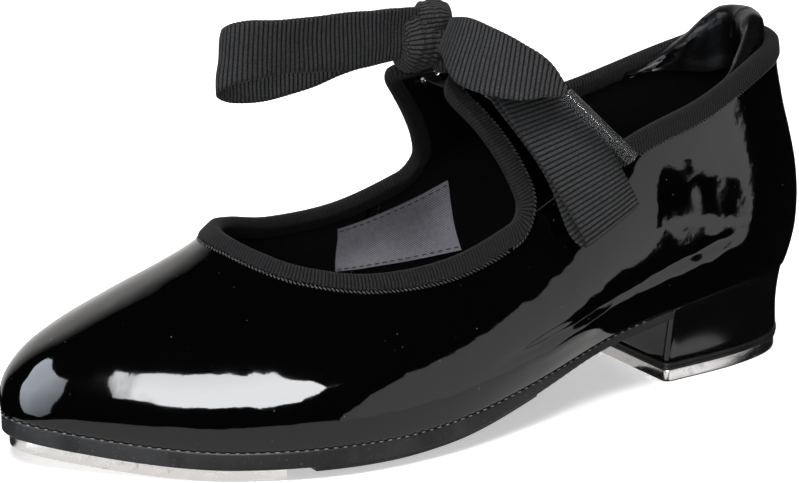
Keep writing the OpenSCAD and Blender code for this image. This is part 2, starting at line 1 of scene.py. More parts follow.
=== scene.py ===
"""Looks of a child's tap shoe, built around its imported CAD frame.

The frame is +X to the toe, +Y to the outer side of the foot and +Z up. Shapes are worked out
in millimetres and turned into metres when a mesh is made.
"""

import json
import math

import bpy
import numpy as np
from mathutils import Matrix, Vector


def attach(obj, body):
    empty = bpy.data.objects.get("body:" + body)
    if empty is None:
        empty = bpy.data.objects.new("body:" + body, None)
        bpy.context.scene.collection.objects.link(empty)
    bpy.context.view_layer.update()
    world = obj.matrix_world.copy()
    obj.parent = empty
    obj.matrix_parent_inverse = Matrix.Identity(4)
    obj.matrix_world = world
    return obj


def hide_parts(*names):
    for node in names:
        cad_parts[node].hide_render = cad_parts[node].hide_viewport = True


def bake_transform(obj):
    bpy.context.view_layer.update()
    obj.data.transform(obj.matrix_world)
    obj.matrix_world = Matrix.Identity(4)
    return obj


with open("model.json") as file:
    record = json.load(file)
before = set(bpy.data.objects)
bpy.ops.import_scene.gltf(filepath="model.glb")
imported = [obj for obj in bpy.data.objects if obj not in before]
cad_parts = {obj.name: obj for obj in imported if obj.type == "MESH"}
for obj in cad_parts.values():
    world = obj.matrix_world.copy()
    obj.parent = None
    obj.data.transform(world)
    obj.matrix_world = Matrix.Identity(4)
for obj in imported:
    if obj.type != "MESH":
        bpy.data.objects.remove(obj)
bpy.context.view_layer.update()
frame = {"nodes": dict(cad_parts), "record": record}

MM = 0.001
MIDDLE = np.array([-2.5, 2.45, 0.0])      # middle of the whole shoe, from its sole's middle

# ---------- sizes shared with the CAD, in millimetres ----------

SEAT_Z = 24.0
BALL_Z = 7.5
TOE_SPRING = 3.8
SOLE_T = 4.2
WAIST_T = 2.2
PAD_T = 1.8
LIFT_T = 2.0
TAP_T = 3.3
TAP_INSET = 1.8
TOE_TAP_REAR_X = 54.5
PAD_GAP = 2.9
PAD_REAR_X = -17.0
HEEL_DRAW = 5.0
BREAST_X = -60.7
BREAST_LEAN = 1.7
HEEL_INSET = 0.6
UPPER_T = 1.1
LINING_T = 0.7
LAYER_GAP = 0.15
TOUCH = 0.02
BINDING_T = 0.7
BINDING_DEPTH = 3.8
RIBBON_T = 0.7
RIBBON_W = 16.0
EYELET_D = 5.0
MARGIN_W = 8.0
TAB_GAP = 2.84
BOARD_TOP = 3.0      # top of the insole board above the sole's top face

# Stations from the back seam along the outer side to the toe and back along the inner side:
# the line where the upper meets the sole, the edge of the opening, and the fullness between
# them (outward and upward handle at the sole, outward and downward handle at the topline)
FEATHER = np.array([
    [-107.5, 0], [-101.3, 14], [-86, 22], [-64, 25.5], [-39, 27.5], [-12, 34.5],
    [15, 39.5], [43, 39], [69, 29], [92, 9], [106, -9], [98, -25],
    [77, -34], [48, -37], [20, -35.5], [-9, -30], [-38, -27], [-64, -25.5],
    [-86, -22], [-101.3, -14]])
TOPLINE = np.array([
    [-102.5, 0, 82.5], [-98, 12, 82], [-86, 20, 79.5], [-66, 26, 73],
    [-42, 29.5, 67], [-13, 30.5, 53], [8, 31, 45.5], [28, 28, 43.5], [42, 20, 45],
    [49.5, 9.5, 47.5], [53, -3.5, 50], [48, -15.5, 49], [39, -24, 46.5],
    [25, -28.5, 43.5], [5, -29.5, 44.5], [-17, -29, 51.5], [-42, -28.5, 62.5],
    [-66, -25.5, 69], [-86, -20, 76], [-98.5, -12, 81]])
FULLNESS = np.array([
    [7.5, 20, 2, 22], [7.5, 20, 2, 22], [6, 18, 2, 20], [5, 17, 3, 16],
    [8, 15, 4, 14], [6, 13, 5, 12], [3, 12, 7, 10], [3, 12, 10, 8], [4, 12, 12, 7],
    [4, 15, 15, 8.5], [3, 18, 17, 11], [6, 19, 12.5, 14.5], [5, 14, 9, 12],
    [3, 12.5, 8, 10], [3, 12, 7, 10], [5, 13, 6, 12], [7, 15, 4, 14], [5, 17, 3, 16],
    [6, 18, 2, 20], [7.5, 20, 2, 22]])
STATIONS = len(FEATHER)

# ---------- curves ----------


def lerp(a, b, t):
    return a + (b - a) * t


def smooth(t):
    s = np.clip(t, 0, 1)
    return s * s * (3 - 2 * s)


def unit(v):
    v = np.asarray(v, float)
    return v / np.linalg.norm(v, axis=-1, keepdims=True)


def spline(a, b, c, d, t):
    return 0.5 * (2 * b + (c - a) * t + (2 * a - 5 * b + 4 * c - d) * t**2
                  + (3 * b - a - 3 * c + d) * t**3)


def around(points, u):
    """Point at u on the closed curve through the points, one station per unit of u."""
    n = len(points)
    u = np.asarray(u, float)
    i = np.floor(u).astype(int)
    t = (u - i)[..., None]
    return spline(points[(i - 1) % n], points[i % n], points[(i + 1) % n],
                  points[(i + 2) % n], t)


def along(points, t):
    """Point at t (0 to 1) on the open curve through the points."""
    p = np.asarray(points, float)
    p = np.concatenate([[2 * p[0] - p[1]], p, [2 * p[-1] - p[-2]]])
    last = len(p) - 3
    t = np.asarray(t, float) * last
    i = np.clip(np.floor(t).astype(int), 0, last - 1)
    return spline(p[i], p[i + 1], p[i + 2], p[i + 3], (t - i)[..., None])


def bezier(a, b, c, d, t):
    s = 1 - t
    return s**3 * a + 3 * s * s * t * b + 3 * s * t * t * c + t**3 * d


def even(curve, low, high, step, trials=1500):
    """Values between low and high at which curve(value) is about step millimetres apart,
    and the distance along the curve at each."""
    t = np.linspace(low, high, trials)
    p = curve(t)
    run = np.concatenate([[0], np.cumsum(np.linalg.norm(np.diff(p, axis=0), axis=1))])
    count = max(2, int(round(run[-1] / step)) + 1)
    s = np.linspace(0, run[-1], count)
    return np.interp(s, run, t), s


# ---------- sole line and upper surface ----------


def sole_top(x):
    rise = smooth((32 - x) / 124)
    return lerp(BALL_Z, SEAT_Z, rise) + TOE_SPRING * np.clip((x - 66) / 40, 0, None)**2


def sole_bottom(x):
    return sole_top(x) - lerp(SOLE_T, WAIST_T, smooth((12 - x) / 50))


def feather2d(u):
    return around(FEATHER, u)


def outward2d(u):
    d = feather2d(u + 0.05) - feather2d(u - 0.05)
    return unit(np.stack([-d[..., 1], d[..., 0]], -1))


def outline(u, inset):
    return feather2d(u) - inset * outward2d(u)


def with_z(xy, z):
    return np.concatenate([xy, np.broadcast_to(z, xy.shape[:-1])[..., None]], -1)


def outward(u):
    return with_z(outward2d(u), 0.0)


def face_point(u, v):
    """Point on the upper's outer face: u runs around the shoe, v from the sole to the
    topline."""
    u, v = np.broadcast_arrays(np.asarray(u, float), np.asarray(v, float))
    v = v[..., None]
    full = around(FULLNESS, u)
    p = feather2d(u)
    f = with_z(p, sole_top(p[..., 0]) + LAYER_GAP)
    t = around(TOPLINE, u)
    n = outward(u)
    up = np.array([0, 0, 1.0])
    return bezier(f, f + full[..., 0:1] * n + full[..., 1:2] * up,
                  t + full[..., 2:3] * n - full[..., 3:4] * up, t, v)


def along_v(u, v):
    return face_point(u, v + 0.01) - face_point(u, v - 0.01)


def normal(u, v):
    return unit(np.cross(along_v(u, v), face_point(u + 0.05, v) - face_point(u - 0.05, v)))


def wall(u, v, off):
    """Point off millimetres inside the upper's outer face."""
    return face_point(u, v) - np.asarray(off)[..., None] * normal(u, v)


def edge_point(u, depth, off):
    """Point depth millimetres below the topline (above it when negative) and off
    millimetres into the wall."""
    u, depth, off = np.broadcast_arrays(np.asarray(u, float), depth, off)
    top = along_v(u, 0.99)
    reach = np.linalg.norm(top, axis=-1) / 0.02
    below = wall(u, 1 - np.maximum(depth, 0) / reach, off)
    return below + np.maximum(-depth, 0)[..., None] * unit(top)


# ---------- instep tabs ----------

TAB_FRONT_U = 5.06
TAB_REAR_U = 4.2
TAB_END = np.array([-7.5, 6.5, 84.5])
TAB_END_HALF = np.array([11, 1.5, -1.5])
TAB_END_SHIFT = np.array([-1.2, 0, 0])
TAB_END_DIR = unit([4, -11, 2.6])
EYELET_S = 0.74
TAB_LENGTH = 33.0


def sided(p, side):
    return p * np.array([1, side, 1])


def tab_u(side, w):
    back = lerp(TAB_FRONT_U, TAB_REAR_U, w)
    return back if side > 0 else STATIONS - back


def tab_face(side, w, s):
    """Point on a tab's outer face: w runs from its front edge to its rear edge, s from its
    base above the topline to its end. Below s = 0 it follows the upper."""
    w, s = np.broadcast_arrays(np.asarray(w, float), np.asarray(s, float))
    u = tab_u(side, w)
    up = unit(along_v(u, 0.99))
    narrow = np.sqrt(1 - 0.75 * np.clip((s - 0.7) / 0.3, 0, 1)**2)
    e = sided(TAB_END + TAB_END_HALF * ((1 - 2 * w) * narrow)[..., None], side)
    e = e + side * TAB_END_SHIFT
    base = edge_point(u, -TAB_GAP, 0)
    top = bezier(base, base + 11 * up, e - 13 * sided(TAB_END_DIR, side), e,
                 np.clip(s, 0, 2)[..., None])
    return top + np.minimum(s, 0)[..., None] * TAB_LENGTH * up


def tab_normal(side, w, s):
    across = tab_face(side, w - 0.02, s) - tab_face(side, w + 0.02, s)
    return side * unit(np.cross(tab_face(side, w, s + 0.01) - tab_face(side, w, s - 0.01),
                                across))


def tab_point(side, w, s, off):
    return tab_face(side, w, s) - np.asarray(off)[..., None] * tab_normal(side, w, s)


# ---------- millimetres and metres ----------


def metres(points):
    """Millimetres about the middle of the sole, as metres about the part's origin."""
    return (np.asarray(points, float) - MIDDLE) * MM


def millimetres(points):
    return np.asarray(points, float) / MM + MIDDLE

# ---------- meshes from grids of points ----------


def add_mesh(name, points, faces, material, uv=None, sharp=35.0):
    """Mesh object from points in millimetres. uv holds one pair of millimetres per point."""
    mesh = bpy.data.meshes.new(name)
    mesh.from_pydata(metres(points).tolist(), [], faces)
    mesh.polygons.foreach_set("use_smooth", np.ones(len(mesh.polygons), bool))
    if sharp:
        mesh.set_sharp_from_angle(angle=math.radians(sharp))
    if uv is not None:
        corner = np.zeros(len(mesh.loops), np.int32)
        mesh.loops.foreach_get("vertex_index", corner)
        layer = mesh.uv_layers.new(name="weave")
        layer.data.foreach_set("uv", np.asarray(uv, np.float32)[corner].ravel())
    mesh.materials.append(material)
    piece = bpy.data.objects.new(name, mesh)
    bpy.context.scene.collection.objects.link(piece)
    return piece


def finish_piece(piece, body, nodes):
    """Ties a finished piece to its body and hides the CAD nodes it stands for."""
    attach(piece, body)
    if nodes:
        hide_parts(*nodes)
    return piece


def quads(*corners):
    return np.stack([np.broadcast_arrays(*corners)[k] for k in range(4)], -1).reshape(-1, 4)


def turned_over(corners):
    """A face's corners the other way round, from the same first corner."""
    return corners[:1] + corners[:0:-1]


def sheet_faces(keep, ring):
    """Faces of the closed solid between a front and a back grid, of the cells marked in keep
    only, with rims around every cut. The front is seen from the side where its second index
    runs to the right of its first."""
    n, m = len(keep) + (not ring), keep.shape[1] + 1

    def front(a, b):
        return (a % n) * m + b

    def back(a, b):
        return n * m + front(a, b)

    def rim(open_side, down, right, flip):
        i, j = np.nonzero(open_side)
        k, q = i + down, j + right
        corners = [front(i, j), front(k, q), back(k, q), back(i, j)]
        return quads(*(turned_over(corners) if flip else corners))

    i, j = np.nonzero(keep)
    wide = np.pad(keep, ((0, 0), (1, 1)))
    tall = np.concatenate([keep[-1:], keep]) if ring else np.pad(keep, ((1, 1), (0, 0)))
    left, right, below, above = wide[:, :-1], wide[:, 1:], tall[:-1], tall[1:]
    return np.concatenate([
        quads(front(i, j), front(i, j + 1), front(i + 1, j + 1), front(i + 1, j)),
        quads(back(i, j), back(i + 1, j), back(i + 1, j + 1), back(i, j + 1)),
        rim(right & ~left, 1, 0, False), rim(left & ~right, 1, 0, True),
        rim(above & ~below, 0, 1, True), rim(below & ~above, 0, 1, False)])


def add_sheet(name, front, back, material, keep=None, ring=False, uv=None, sharp=35.0):
    """Closed solid between two grids of points, of the cells marked in keep."""
    n, m = front.shape[:2]
    if keep is None:
        keep = np.ones((n - (not ring), m - 1), bool)
    faces = sheet_faces(keep, ring)
    used, packed = np.unique(faces, return_inverse=True)
    points = np.concatenate([front.reshape(-1, 3), back.reshape(-1, 3)])[used]
    if uv is not None:
        uv = np.concatenate([uv.reshape(-1, 2)] * 2)[used]
    return add_mesh(name, points, packed.reshape(faces.shape).tolist(), material, uv, sharp)


def tube_faces(levels, n, closed=False, flip=False):
    """Faces round a stack of rings of n points. A closed stack joins its last ring to its
    first, and flip turns every face over."""
    k = np.arange(levels if closed else levels - 1)[:, None]
    i = np.arange(n)[None, :]
    j = (i + 1) % n
    above = (k + 1) % levels
    corners = [k * n + i, above * n + i, above * n + j, k * n + j]
    return quads(*(turned_over(corners) if flip else corners))


def add_stack(name, rings, material):
    """Solid through a stack of rings, lowest first. A ring runs around its outline and its
    first half mirrors its second half, so that the end faces close as ladders."""
    rings = np.asarray(rings)
    levels, n = rings.shape[:2]
    sides = tube_faces(levels, n)
    half = np.arange(n // 2 - 1)
    top = (levels - 1) * n
    floor = quads(half, half + 1, n - 2 - half, n - 1 - half)
    roof = quads(top + half, top + n - 1 - half, top + n - 2 - half, top + half + 1)
    faces = np.concatenate([sides, floor, roof]).tolist()
    return add_mesh(name, rings.reshape(-1, 3), faces, material)


def cross_grid(u, v):
    return np.meshgrid(u, v, indexing="ij")


def waves(p, seed, scale, octaves=3):
    """Smooth noise between about -1 and 1 over points p, with waves about scale millimetres
    long."""
    rng = np.random.default_rng(seed)
    total = np.zeros(p.shape[:-1])
    for octave in range(octaves):
        for _ in range(5):
            k = unit(rng.normal(size=3)) * 2 * np.pi / scale * 1.9**octave
            total += np.sin(p @ k + rng.uniform(0, 2 * np.pi)) * 0.62**octave
    return total / 4.5


# ---------- rows of stitches ----------


THREAD_RINGS = 6
THREAD_SIDES = 6


def capsule(length, radius):
    """Points and faces of a rounded thread lying along X."""
    n, m = THREAD_RINGS, THREAD_SIDES
    t = np.linspace(-1, 1, n)
    r = radius * np.sqrt(np.clip(1 - t**4, 0.02, 1))
    a = np.arange(m) * 2 * np.pi / m
    p = np.stack([np.repeat(t * length / 2, m), np.outer(r, np.cos(a)).ravel(),
                  np.outer(r, np.sin(a)).ravel()], -1)
    faces = tube_faces(n, m)[:, ::-1].tolist()
    faces += [list(range(m))[::-1], [(n - 1) * m + q for q in range(m)]]
    return p, faces


def add_threads(name, centres, directions, normals, length, radius, material):
    """One mesh of short threads lying on a surface."""
    p, faces = capsule(length, radius)
    x = unit(directions)
    y = unit(np.cross(normals, x))
    z = np.cross(x, y)
    points = (centres[:, None] + p[None, :, 0:1] * x[:, None] + p[None, :, 1:2] * y[:, None]
              + p[None, :, 2:3] * z[:, None]).reshape(-1, 3)
    size = len(p)
    every = [[c + k * size for c in face] for k in range(len(centres)) for face in faces]
    return add_mesh(name, points, every, material, None, 0)


# ---------- materials ----------


def new_material(name):
    material = bpy.data.materials.new(name)
    material.use_nodes = True
    material.node_tree.nodes.clear()
    return material, material.node_tree


def node(tree, kind, sockets=None, **settings):
    """Shader node of a kind. A socket is set to a value, or linked when given an output."""
    made = tree.nodes.new("ShaderNode" + kind)
    for key, value in settings.items():
        setattr(made, key, value)
    for key, value in (sockets or {}).items():
        if isinstance(value, bpy.types.NodeSocket):
            tree.links.new(value, made.inputs[key])
        else:
            made.inputs[key].default_value = value
    return made


def send(tree, shader, kind="Material"):
    """Links a shader to the tree's output."""
    tree.links.new(shader.outputs[0], node(tree, "Output" + kind).inputs[0])


def math_node(tree, operation, a, b=0.0):
    return node(tree, "Math", {0: a, 1: b}, operation=operation).outputs[0]


def place(tree):
    return node(tree, "TexCoord").outputs["Object"]


def noise(tree, scale, detail=2.0, stretch=None):
    """Noise over the object, in waves per metre, stretched along an axis when asked."""
    where = place(tree)
    if stretch:
        where = node(tree, "Mapping", {0: where, 3: stretch}).outputs[0]
    made = node(tree, "TexNoise", {"Vector": where, "Scale": scale, "Detail": detail})
    return made.outputs[0]


def ramp(tree, value, low, high, start=0.0, end=1.0):
    """Value mapped from start..end to low..high, and held at both ends."""
    return node(tree, "MapRange", {0: value, 1: start, 2: end, 3: low, 4: high}).outputs[0]


def mix_colour(tree, factor, a, b):
    return node(tree, "Mix", {0: factor, 6: a, 7: b}, data_type="RGBA").outputs[2]


def bump(tree, height, depth_mm, strength=1.0, under=None):
    sockets = {"Height": height, "Distance": depth_mm * MM, "Strength": strength}
    if under is not None:
        sockets["Normal"] = under
    return node(tree, "Bump", sockets).outputs[0]


def grey(value, tint=0.0):
    return (value, value, value * (1 + tint), 1.0)


def surface(material, sockets):
    tree = material.node_tree
    send(tree, node(tree, "BsdfPrincipled", sockets))
    return material


def patent():
    """Black patent leather: a clear glossy film over a faintly uneven base, with dust."""
    m, t = new_material("patent")
    dust = ramp(t, noise(t, 900, 3), 0, 1, 0.745, 0.765)
    cloud = noise(t, 40, 2)
    peel = bump(t, noise(t, 520, 2), 0.012, 0.55)
    normal = bump(t, noise(t, 1500, 1), 0.004, 0.5, peel)
    return surface(m, {
        "Base Color": mix_colour(t, dust, grey(0.0006, 0.1), grey(0.07)),
        "Roughness": math_node(t, "ADD", ramp(t, cloud, 0.03, 0.07), math_node(
            t, "MULTIPLY", dust, 0.3)),
        "IOR": 1.5, "Normal": normal})


def collar_leather():
    """Soft satin leather cloth with a fine grain."""
    m, t = new_material("collar_leather")
    cells = node(t, "TexVoronoi", {"Vector": place(t), "Scale": 900},
                 feature="DISTANCE_TO_EDGE").outputs["Distance"]
    grain = bump(t, cells, 0.05, 0.35)
    creased = bump(t, noise(t, 160, 4), 0.12, 0.4, grain)
    return surface(m, {
        "Base Color": mix_colour(t, noise(t, 60), grey(0.001, 0.1), grey(0.003, 0.12)),
        "Roughness": ramp(t, noise(t, 220), 0.22, 0.32), "IOR": 1.5,
        "Specular IOR Level": 0.16, "Normal": creased})


THREAD_PITCH = 0.34


def grosgrain(name, rib, low=0.0015, high=0.04):
    """Charcoal ribbed weave. Its ribs lie rib millimetres apart along the first direction
    of the weave map, and finer threads cross them. Its colour holds painted shade, low, in
    the grooves between the ribs and a painted highlight, high, on the raised threads."""
    m, t = new_material(name)
    uv = node(t, "UVMap", uv_map="weave").outputs[0]
    split = node(t, "SeparateXYZ", {0: uv})
    turns = math_node(t, "DIVIDE", split.outputs[0], rib)
    phase = math_node(t, "MULTIPLY", math_node(t, "FLOOR", turns), 0.5)
    across = math_node(t, "DIVIDE", split.outputs[1], THREAD_PITCH)
    crossing = math_node(t, "PINGPONG", math_node(t, "ADD", across, phase), 0.5)
    crest = math_node(t, "SINE", math_node(t, "MULTIPLY", math_node(t, "FRACT", turns), math.pi))
    fibre = noise(t, 2600, 2)
    height = math_node(t, "ADD", math_node(t, "MULTIPLY", crossing, 1.2), fibre)
    # painted shade darkens the grooves between ribs; painted highlight lightens the raised thread
    # crossings
    painted_groove_shade = ramp(t, crest, 0.0, 1.0, 0.25, 0.8)
    shade = math_node(t, "MULTIPLY", painted_groove_shade, ramp(t, height, 0.1, 1.25, 0.45, 1.15))
    colour = mix_colour(t, shade, grey(low, 0.03), grey(high, 0.04))
    return surface(m, {
        "Base Color": colour, "Roughness": 0.7, "IOR": 1.4, "Specular IOR Level": 0.12,
        "Sheen Weight": 0.03, "Sheen Roughness": 0.4,
        "Normal": bump(t, height, 0.10, 0.9)})


def thread(name, value):
    """Twisted sewing thread."""
    m, t = new_material(name)
    twist = noise(t, 3000, 1)
    return surface(m, {
        "Base Color": mix_colour(t, twist, grey(value * 0.6), grey(value)),
        "Roughness": 0.55, "Sheen Weight": 0.2, "Normal": bump(t, twist, 0.05, 0.6)})


def lining():
    """Black brushed knit with a fine mesh of loops."""
    m, t = new_material("lining_textile")
    where = node(t, "Mapping", {0: place(t), 3: (1, 1, 0.7)}).outputs[0]
    loops = node(t, "TexVoronoi", {"Vector": where, "Scale": 1150}).outputs["Distance"]
    fuzz = noise(t, 500, 4)
    return surface(m, {
        "Base Color": mix_colour(t, fuzz, grey(0.0006), grey(0.0022, 0.05)),
        "Roughness": 0.9, "Specular IOR Level": 0.05,
        "Normal": bump(t, loops, 0.12, 0.6, bump(t, fuzz, 0.1, 0.4))})


def label_weave():
    """Grey twill tape: light diagonal threads over a darker ground."""
    m, t = new_material("label_weave")
    uv = node(t, "UVMap", uv_map="weave").outputs[0]
    split = node(t, "SeparateXYZ", {0: uv})
    diagonal = math_node(t, "ADD", split.outputs[0], split.outputs[1])
    line = math_node(t, "PINGPONG", math_node(t, "DIVIDE", diagonal, 0.62), 0.5)
    cross = math_node(t, "PINGPONG", math_node(t, "DIVIDE", split.outputs[1], 0.3), 0.5)
    height = math_node(t, "ADD", line, math_node(t, "MULTIPLY", cross, 0.5))
    shade = math_node(t, "ADD", height, math_node(t, "MULTIPLY", noise(t, 900), 0.3))
    return surface(m, {
        "Base Color": mix_colour(t, ramp(t, shade, 0, 1, 0.25, 0.75), (0.12, 0.12, 0.14, 1),
                                 (0.52, 0.52, 0.59, 1)),
        "Roughness": 0.75, "Sheen Weight": 0.2, "Normal": bump(t, height, 0.08, 0.6)})


def rubber():
    """Dull sole rubber, lighter and rougher in patches drawn out up and down, and flecked with
    dust.
    """
    m, t = new_material("sole_rubber")
    patches = ramp(t, noise(t, 110, 4, (1, 1, 0.25)), 0, 1, 0.4, 0.66)
    fleck = ramp(t, noise(t, 1700, 2), 0, 1, 0.66, 0.74)
    base = mix_colour(t, patches, grey(0.002, 0.06), grey(0.010, 0.06))
    return surface(m, {
        "Base Color": mix_colour(t, fleck, base, grey(0.05)),
        "Roughness": ramp(t, patches, 0.42, 0.62), "Specular IOR Level": 0.3,
        "Normal": bump(t, noise(t, 1300, 3), 0.05, 0.5)})


def heel_plastic():
    """Black lacquered plastic with a slow ripple left by the mould."""
    m, t = new_material("heel_plastic")
    ripple = bump(t, noise(t, 90, 1), 0.12, 0.25)
    return surface(m, {
        "Base Color": mix_colour(t, noise(t, 300), grey(0.001), grey(0.003, 0.1)),
        "Roughness": ramp(t, noise(t, 70, 3), 0.07, 0.16), "IOR": 1.5,
        "Normal": bump(t, noise(t, 1100, 2), 0.006, 0.5, ripple)})


def aluminium():
    """Cast aluminium tap: satin, with fine rub marks along its length and dull spots."""
    m, t = new_material("tap_aluminium")
    rub = noise(t, 260, 4, (0.15, 1.6, 3))
    spots = ramp(t, noise(t, 380, 3), 0, 1, 0.6, 0.72)
    return surface(m, {
        "Base Color": mix_colour(t, spots, (0.74, 0.72, 0.70, 1), (0.52, 0.50, 0.48, 1)),
        "Metallic": 1.0, "Roughness": ramp(t, rub, 0.14, 0.34, 0.3, 0.7),
        "Normal": bump(t, rub, 0.02, 0.6)})


def bright_metal(name, colour, roughness):
    """Plated metal with faint scratches."""
    m, t = new_material(name)
    scratch = noise(t, 700, 3, (0.3, 1, 2))
    return surface(m, {
        "Base Color": mix_colour(t, scratch, tuple(c * 0.75 for c in colour[:3]) + (1,), colour),
        "Metallic": 1.0, "Roughness": ramp(t, scratch, roughness, roughness + 0.15),
        "Normal": bump(t, scratch, 0.01, 0.5)})


def fibre_board():
    """Pressed fibre board; its near-black tone is painted shade for the gap between sock and
    lining.
    """
    m, t = new_material("fibre_board")
    fibres = noise(t, 700, 5, (1, 0.25, 1))
    return surface(m, {
        "Base Color": mix_colour(t, fibres, (0.008, 0.007, 0.006, 1), (0.03, 0.026, 0.022, 1)),
        "Roughness": 0.9, "Normal": bump(t, fibres, 0.1, 0.5)})


def foam():
    """Open-cell foam."""
    m, t = new_material("collar_foam")
    cells = node(t, "TexVoronoi", {"Vector": place(t), "Scale": 1400}).outputs["Distance"]
    return surface(m, {
        "Base Color": mix_colour(t, cells, (0.5, 0.47, 0.36, 1), (0.75, 0.72, 0.6, 1)),
        "Roughness": 0.95, "Normal": bump(t, cells, 0.3, 0.8)})


def clear_plastic():
    """Clear tube with faint scuffs."""
    m, t = new_material("clear_plastic")
    scuff = noise(t, 150, 3, (1, 1, 0.3))
    film = node(t, "BsdfPrincipled", {
        "Base Color": grey(0.12), "Roughness": ramp(t, scuff, 0.08, 0.16, 0.4, 0.8)})
    clear = node(t, "BsdfTransparent", {"Color": (0.93, 0.94, 0.95, 1)})
    facing = node(t, "LayerWeight", {"Blend": 0.5}).outputs["Facing"]
    mixed = node(t, "MixShader", {0: ramp(t, facing, 0.12, 0.8, 0.45, 1.0),
                                  1: clear.outputs[0], 2: film.outputs[0]})
    send(t, mixed)
    return m


def tab_lining():
    """Smooth black lining cloth of the tabs, with a dull sheen."""
    m, t = new_material("tab_lining")
    fuzz = noise(t, 700, 3)
    return surface(m, {
        "Base Color": mix_colour(t, fuzz, grey(0.0008), grey(0.003, 0.05)),
        "Roughness": ramp(t, fuzz, 0.32, 0.5), "Specular IOR Level": 0.25,
        "Normal": bump(t, fuzz, 0.06, 0.5)})


RIBBON_RIB = 1.16
BINDING_RIB = 0.83
PATENT = patent()
COLLAR = collar_leather()
TAB_LINING = tab_lining()
RIBBON = grosgrain("ribbon_grosgrain", RIBBON_RIB)
BINDING = grosgrain("binding_grosgrain", BINDING_RIB, 0.0004, 0.018)
SEWING = thread("sewing_thread", 0.008)
# painted highlight: the welt thread's light grey stands in for the small glints where the upper
# meets the sole
WELT_THREAD = thread("welt_thread", 0.12)
LINING = lining()
LABEL = label_weave()
RUBBER = rubber()
HEEL = heel_plastic()
ALUMINIUM = aluminium()
STEEL = bright_metal("screw_steel", (0.62, 0.62, 0.64, 1), 0.25)
NICKEL = bright_metal("eyelet_nickel", (0.86, 0.83, 0.76, 1), 0.12)
BOARD = fibre_board()
FOAM = foam()
CLEAR = clear_plastic()
FINISH = {
    "patent": PATENT, "collar_leather": COLLAR, "grosgrain": RIBBON,
    "lining_textile": LINING, "label_weave": LABEL, "sole_rubber": RUBBER,
    "heel_plastic": HEEL, "tap_aluminium": ALUMINIUM, "screw_steel": STEEL,
    "eyelet_nickel": NICKEL, "fibre_board": BOARD, "collar_foam": FOAM,
    "clear_plastic": CLEAR}

# ---------- sole, heel and taps ----------

SIDE_POINTS = 150


def side_u(x, side):
    """Station at which the outline passes x on one side."""
    u = np.linspace(0, 10, 801) if side > 0 else np.linspace(10, 20, 801)
    run = feather2d(u)[:, 0]
    order = np.argsort(run)
    return np.interp(x, run[order], u[order])


TOE_X = 106
HEEL_X = -106
TOE_U = 10.0
HEEL_U = 0.02


def ring_outline(x0, x1, inset):
    """Outline between two positions along the shoe, drawn in by inset all round."""
    low, high = x0 + inset, x1 - inset
    whole_heel, whole_toe = x0 == HEEL_X, x1 == TOE_X
    lateral_start = HEEL_U if whole_heel else side_u(low, 1)
    medial_start = STATIONS - HEEL_U if whole_heel else side_u(low, -1)
    lateral_end = TOE_U if whole_toe else side_u(high, 1)
    medial_end = TOE_U if whole_toe else side_u(high, -1)
    lateral = outline(np.linspace(lateral_start, lateral_end, SIDE_POINTS), inset)
    medial = outline(np.linspace(medial_end, medial_start, SIDE_POINTS), inset)
    return np.concatenate([lateral, medial])


def on_sole(xy, height):
    """Points over the sole's top face."""
    return with_z(xy, sole_top(xy[..., 0]) + height)


def rounded(thickness, radius, steps=3):
    """Pairs of inset and height (0 to thickness) around a section with rounded edges."""
    a = np.linspace(0, np.pi / 2, steps + 1)
    low = [(radius * (1 - math.sin(t)), radius * (1 - math.cos(t))) for t in a]
    high = [(inset, thickness - height) for inset, height in low[::-1]]
    return low + high


def underside(name, x0, x1, inset, thickness, radius, material, top, ripple=None):
    """Plate whose upper face follows top(x), with rounded edges."""
    rings = []
    for extra, height in rounded(1.0, radius):
        xy = ring_outline(x0, x1, inset + extra)
        z_top = top(xy[:, 0])
        thick = thickness(xy[:, 0])
        z = z_top - thick * (1 - height)
        if ripple is not None and height < 0.3:
            xy = xy - outward2d_at(xy) * ripple(xy)[:, None]
        rings.append(with_z(xy, z))
    return add_stack(name, rings, material)


def outward2d_at(xy):
    """Outward direction of a ring of points that runs clockwise seen from above."""
    d = np.roll(xy, -1, axis=0) - np.roll(xy, 1, axis=0)
    return unit(np.stack([-d[:, 1], d[:, 0]], -1) + 1e-9)


def tread_ripple(xy):
    """Small notches along the lower edge of the sole, under the ball and the waist."""
    x = xy[:, 0]
    along_edge = np.cumsum(np.linalg.norm(np.diff(xy, axis=0, prepend=xy[:1]), axis=1))
    notch = np.abs(np.sin(along_edge * np.pi / 2.6))**0.6
    return 0.35 * (1 - notch) * smooth((45 - x) / 12) * smooth((x + 42) / 12)


def build_sole():
    sole_back = BREAST_X + BREAST_LEAN + 0.3
    sole = underside("outsole_visual", sole_back, TOE_X, 0,
                     lambda x: sole_top(x) - sole_bottom(x), 0.16, RUBBER, sole_top,
                     tread_ripple)
    finish_piece(sole, "shoe", ["outsole"])
    pad = underside("forefoot_pad_visual", PAD_REAR_X, TOE_TAP_REAR_X - PAD_GAP, 2,
                    lambda x: PAD_T + 0 * x, 0.3, RUBBER, lambda x: sole_bottom(x) - TOUCH)
    finish_piece(pad, "shoe", ["forefoot_pad"])


def build_toe_tap():
    tap = underside("toe_tap_visual", TOE_TAP_REAR_X, TOE_X, TAP_INSET,
                    lambda x: TAP_T + 0 * x, 0.14, ALUMINIUM,
                    lambda x: sole_bottom(x) - TOUCH)
    finish_piece(tap, "shoe", ["toe_tap"])


HEEL_CORNER = 1.6
CORNER_STEPS = 5


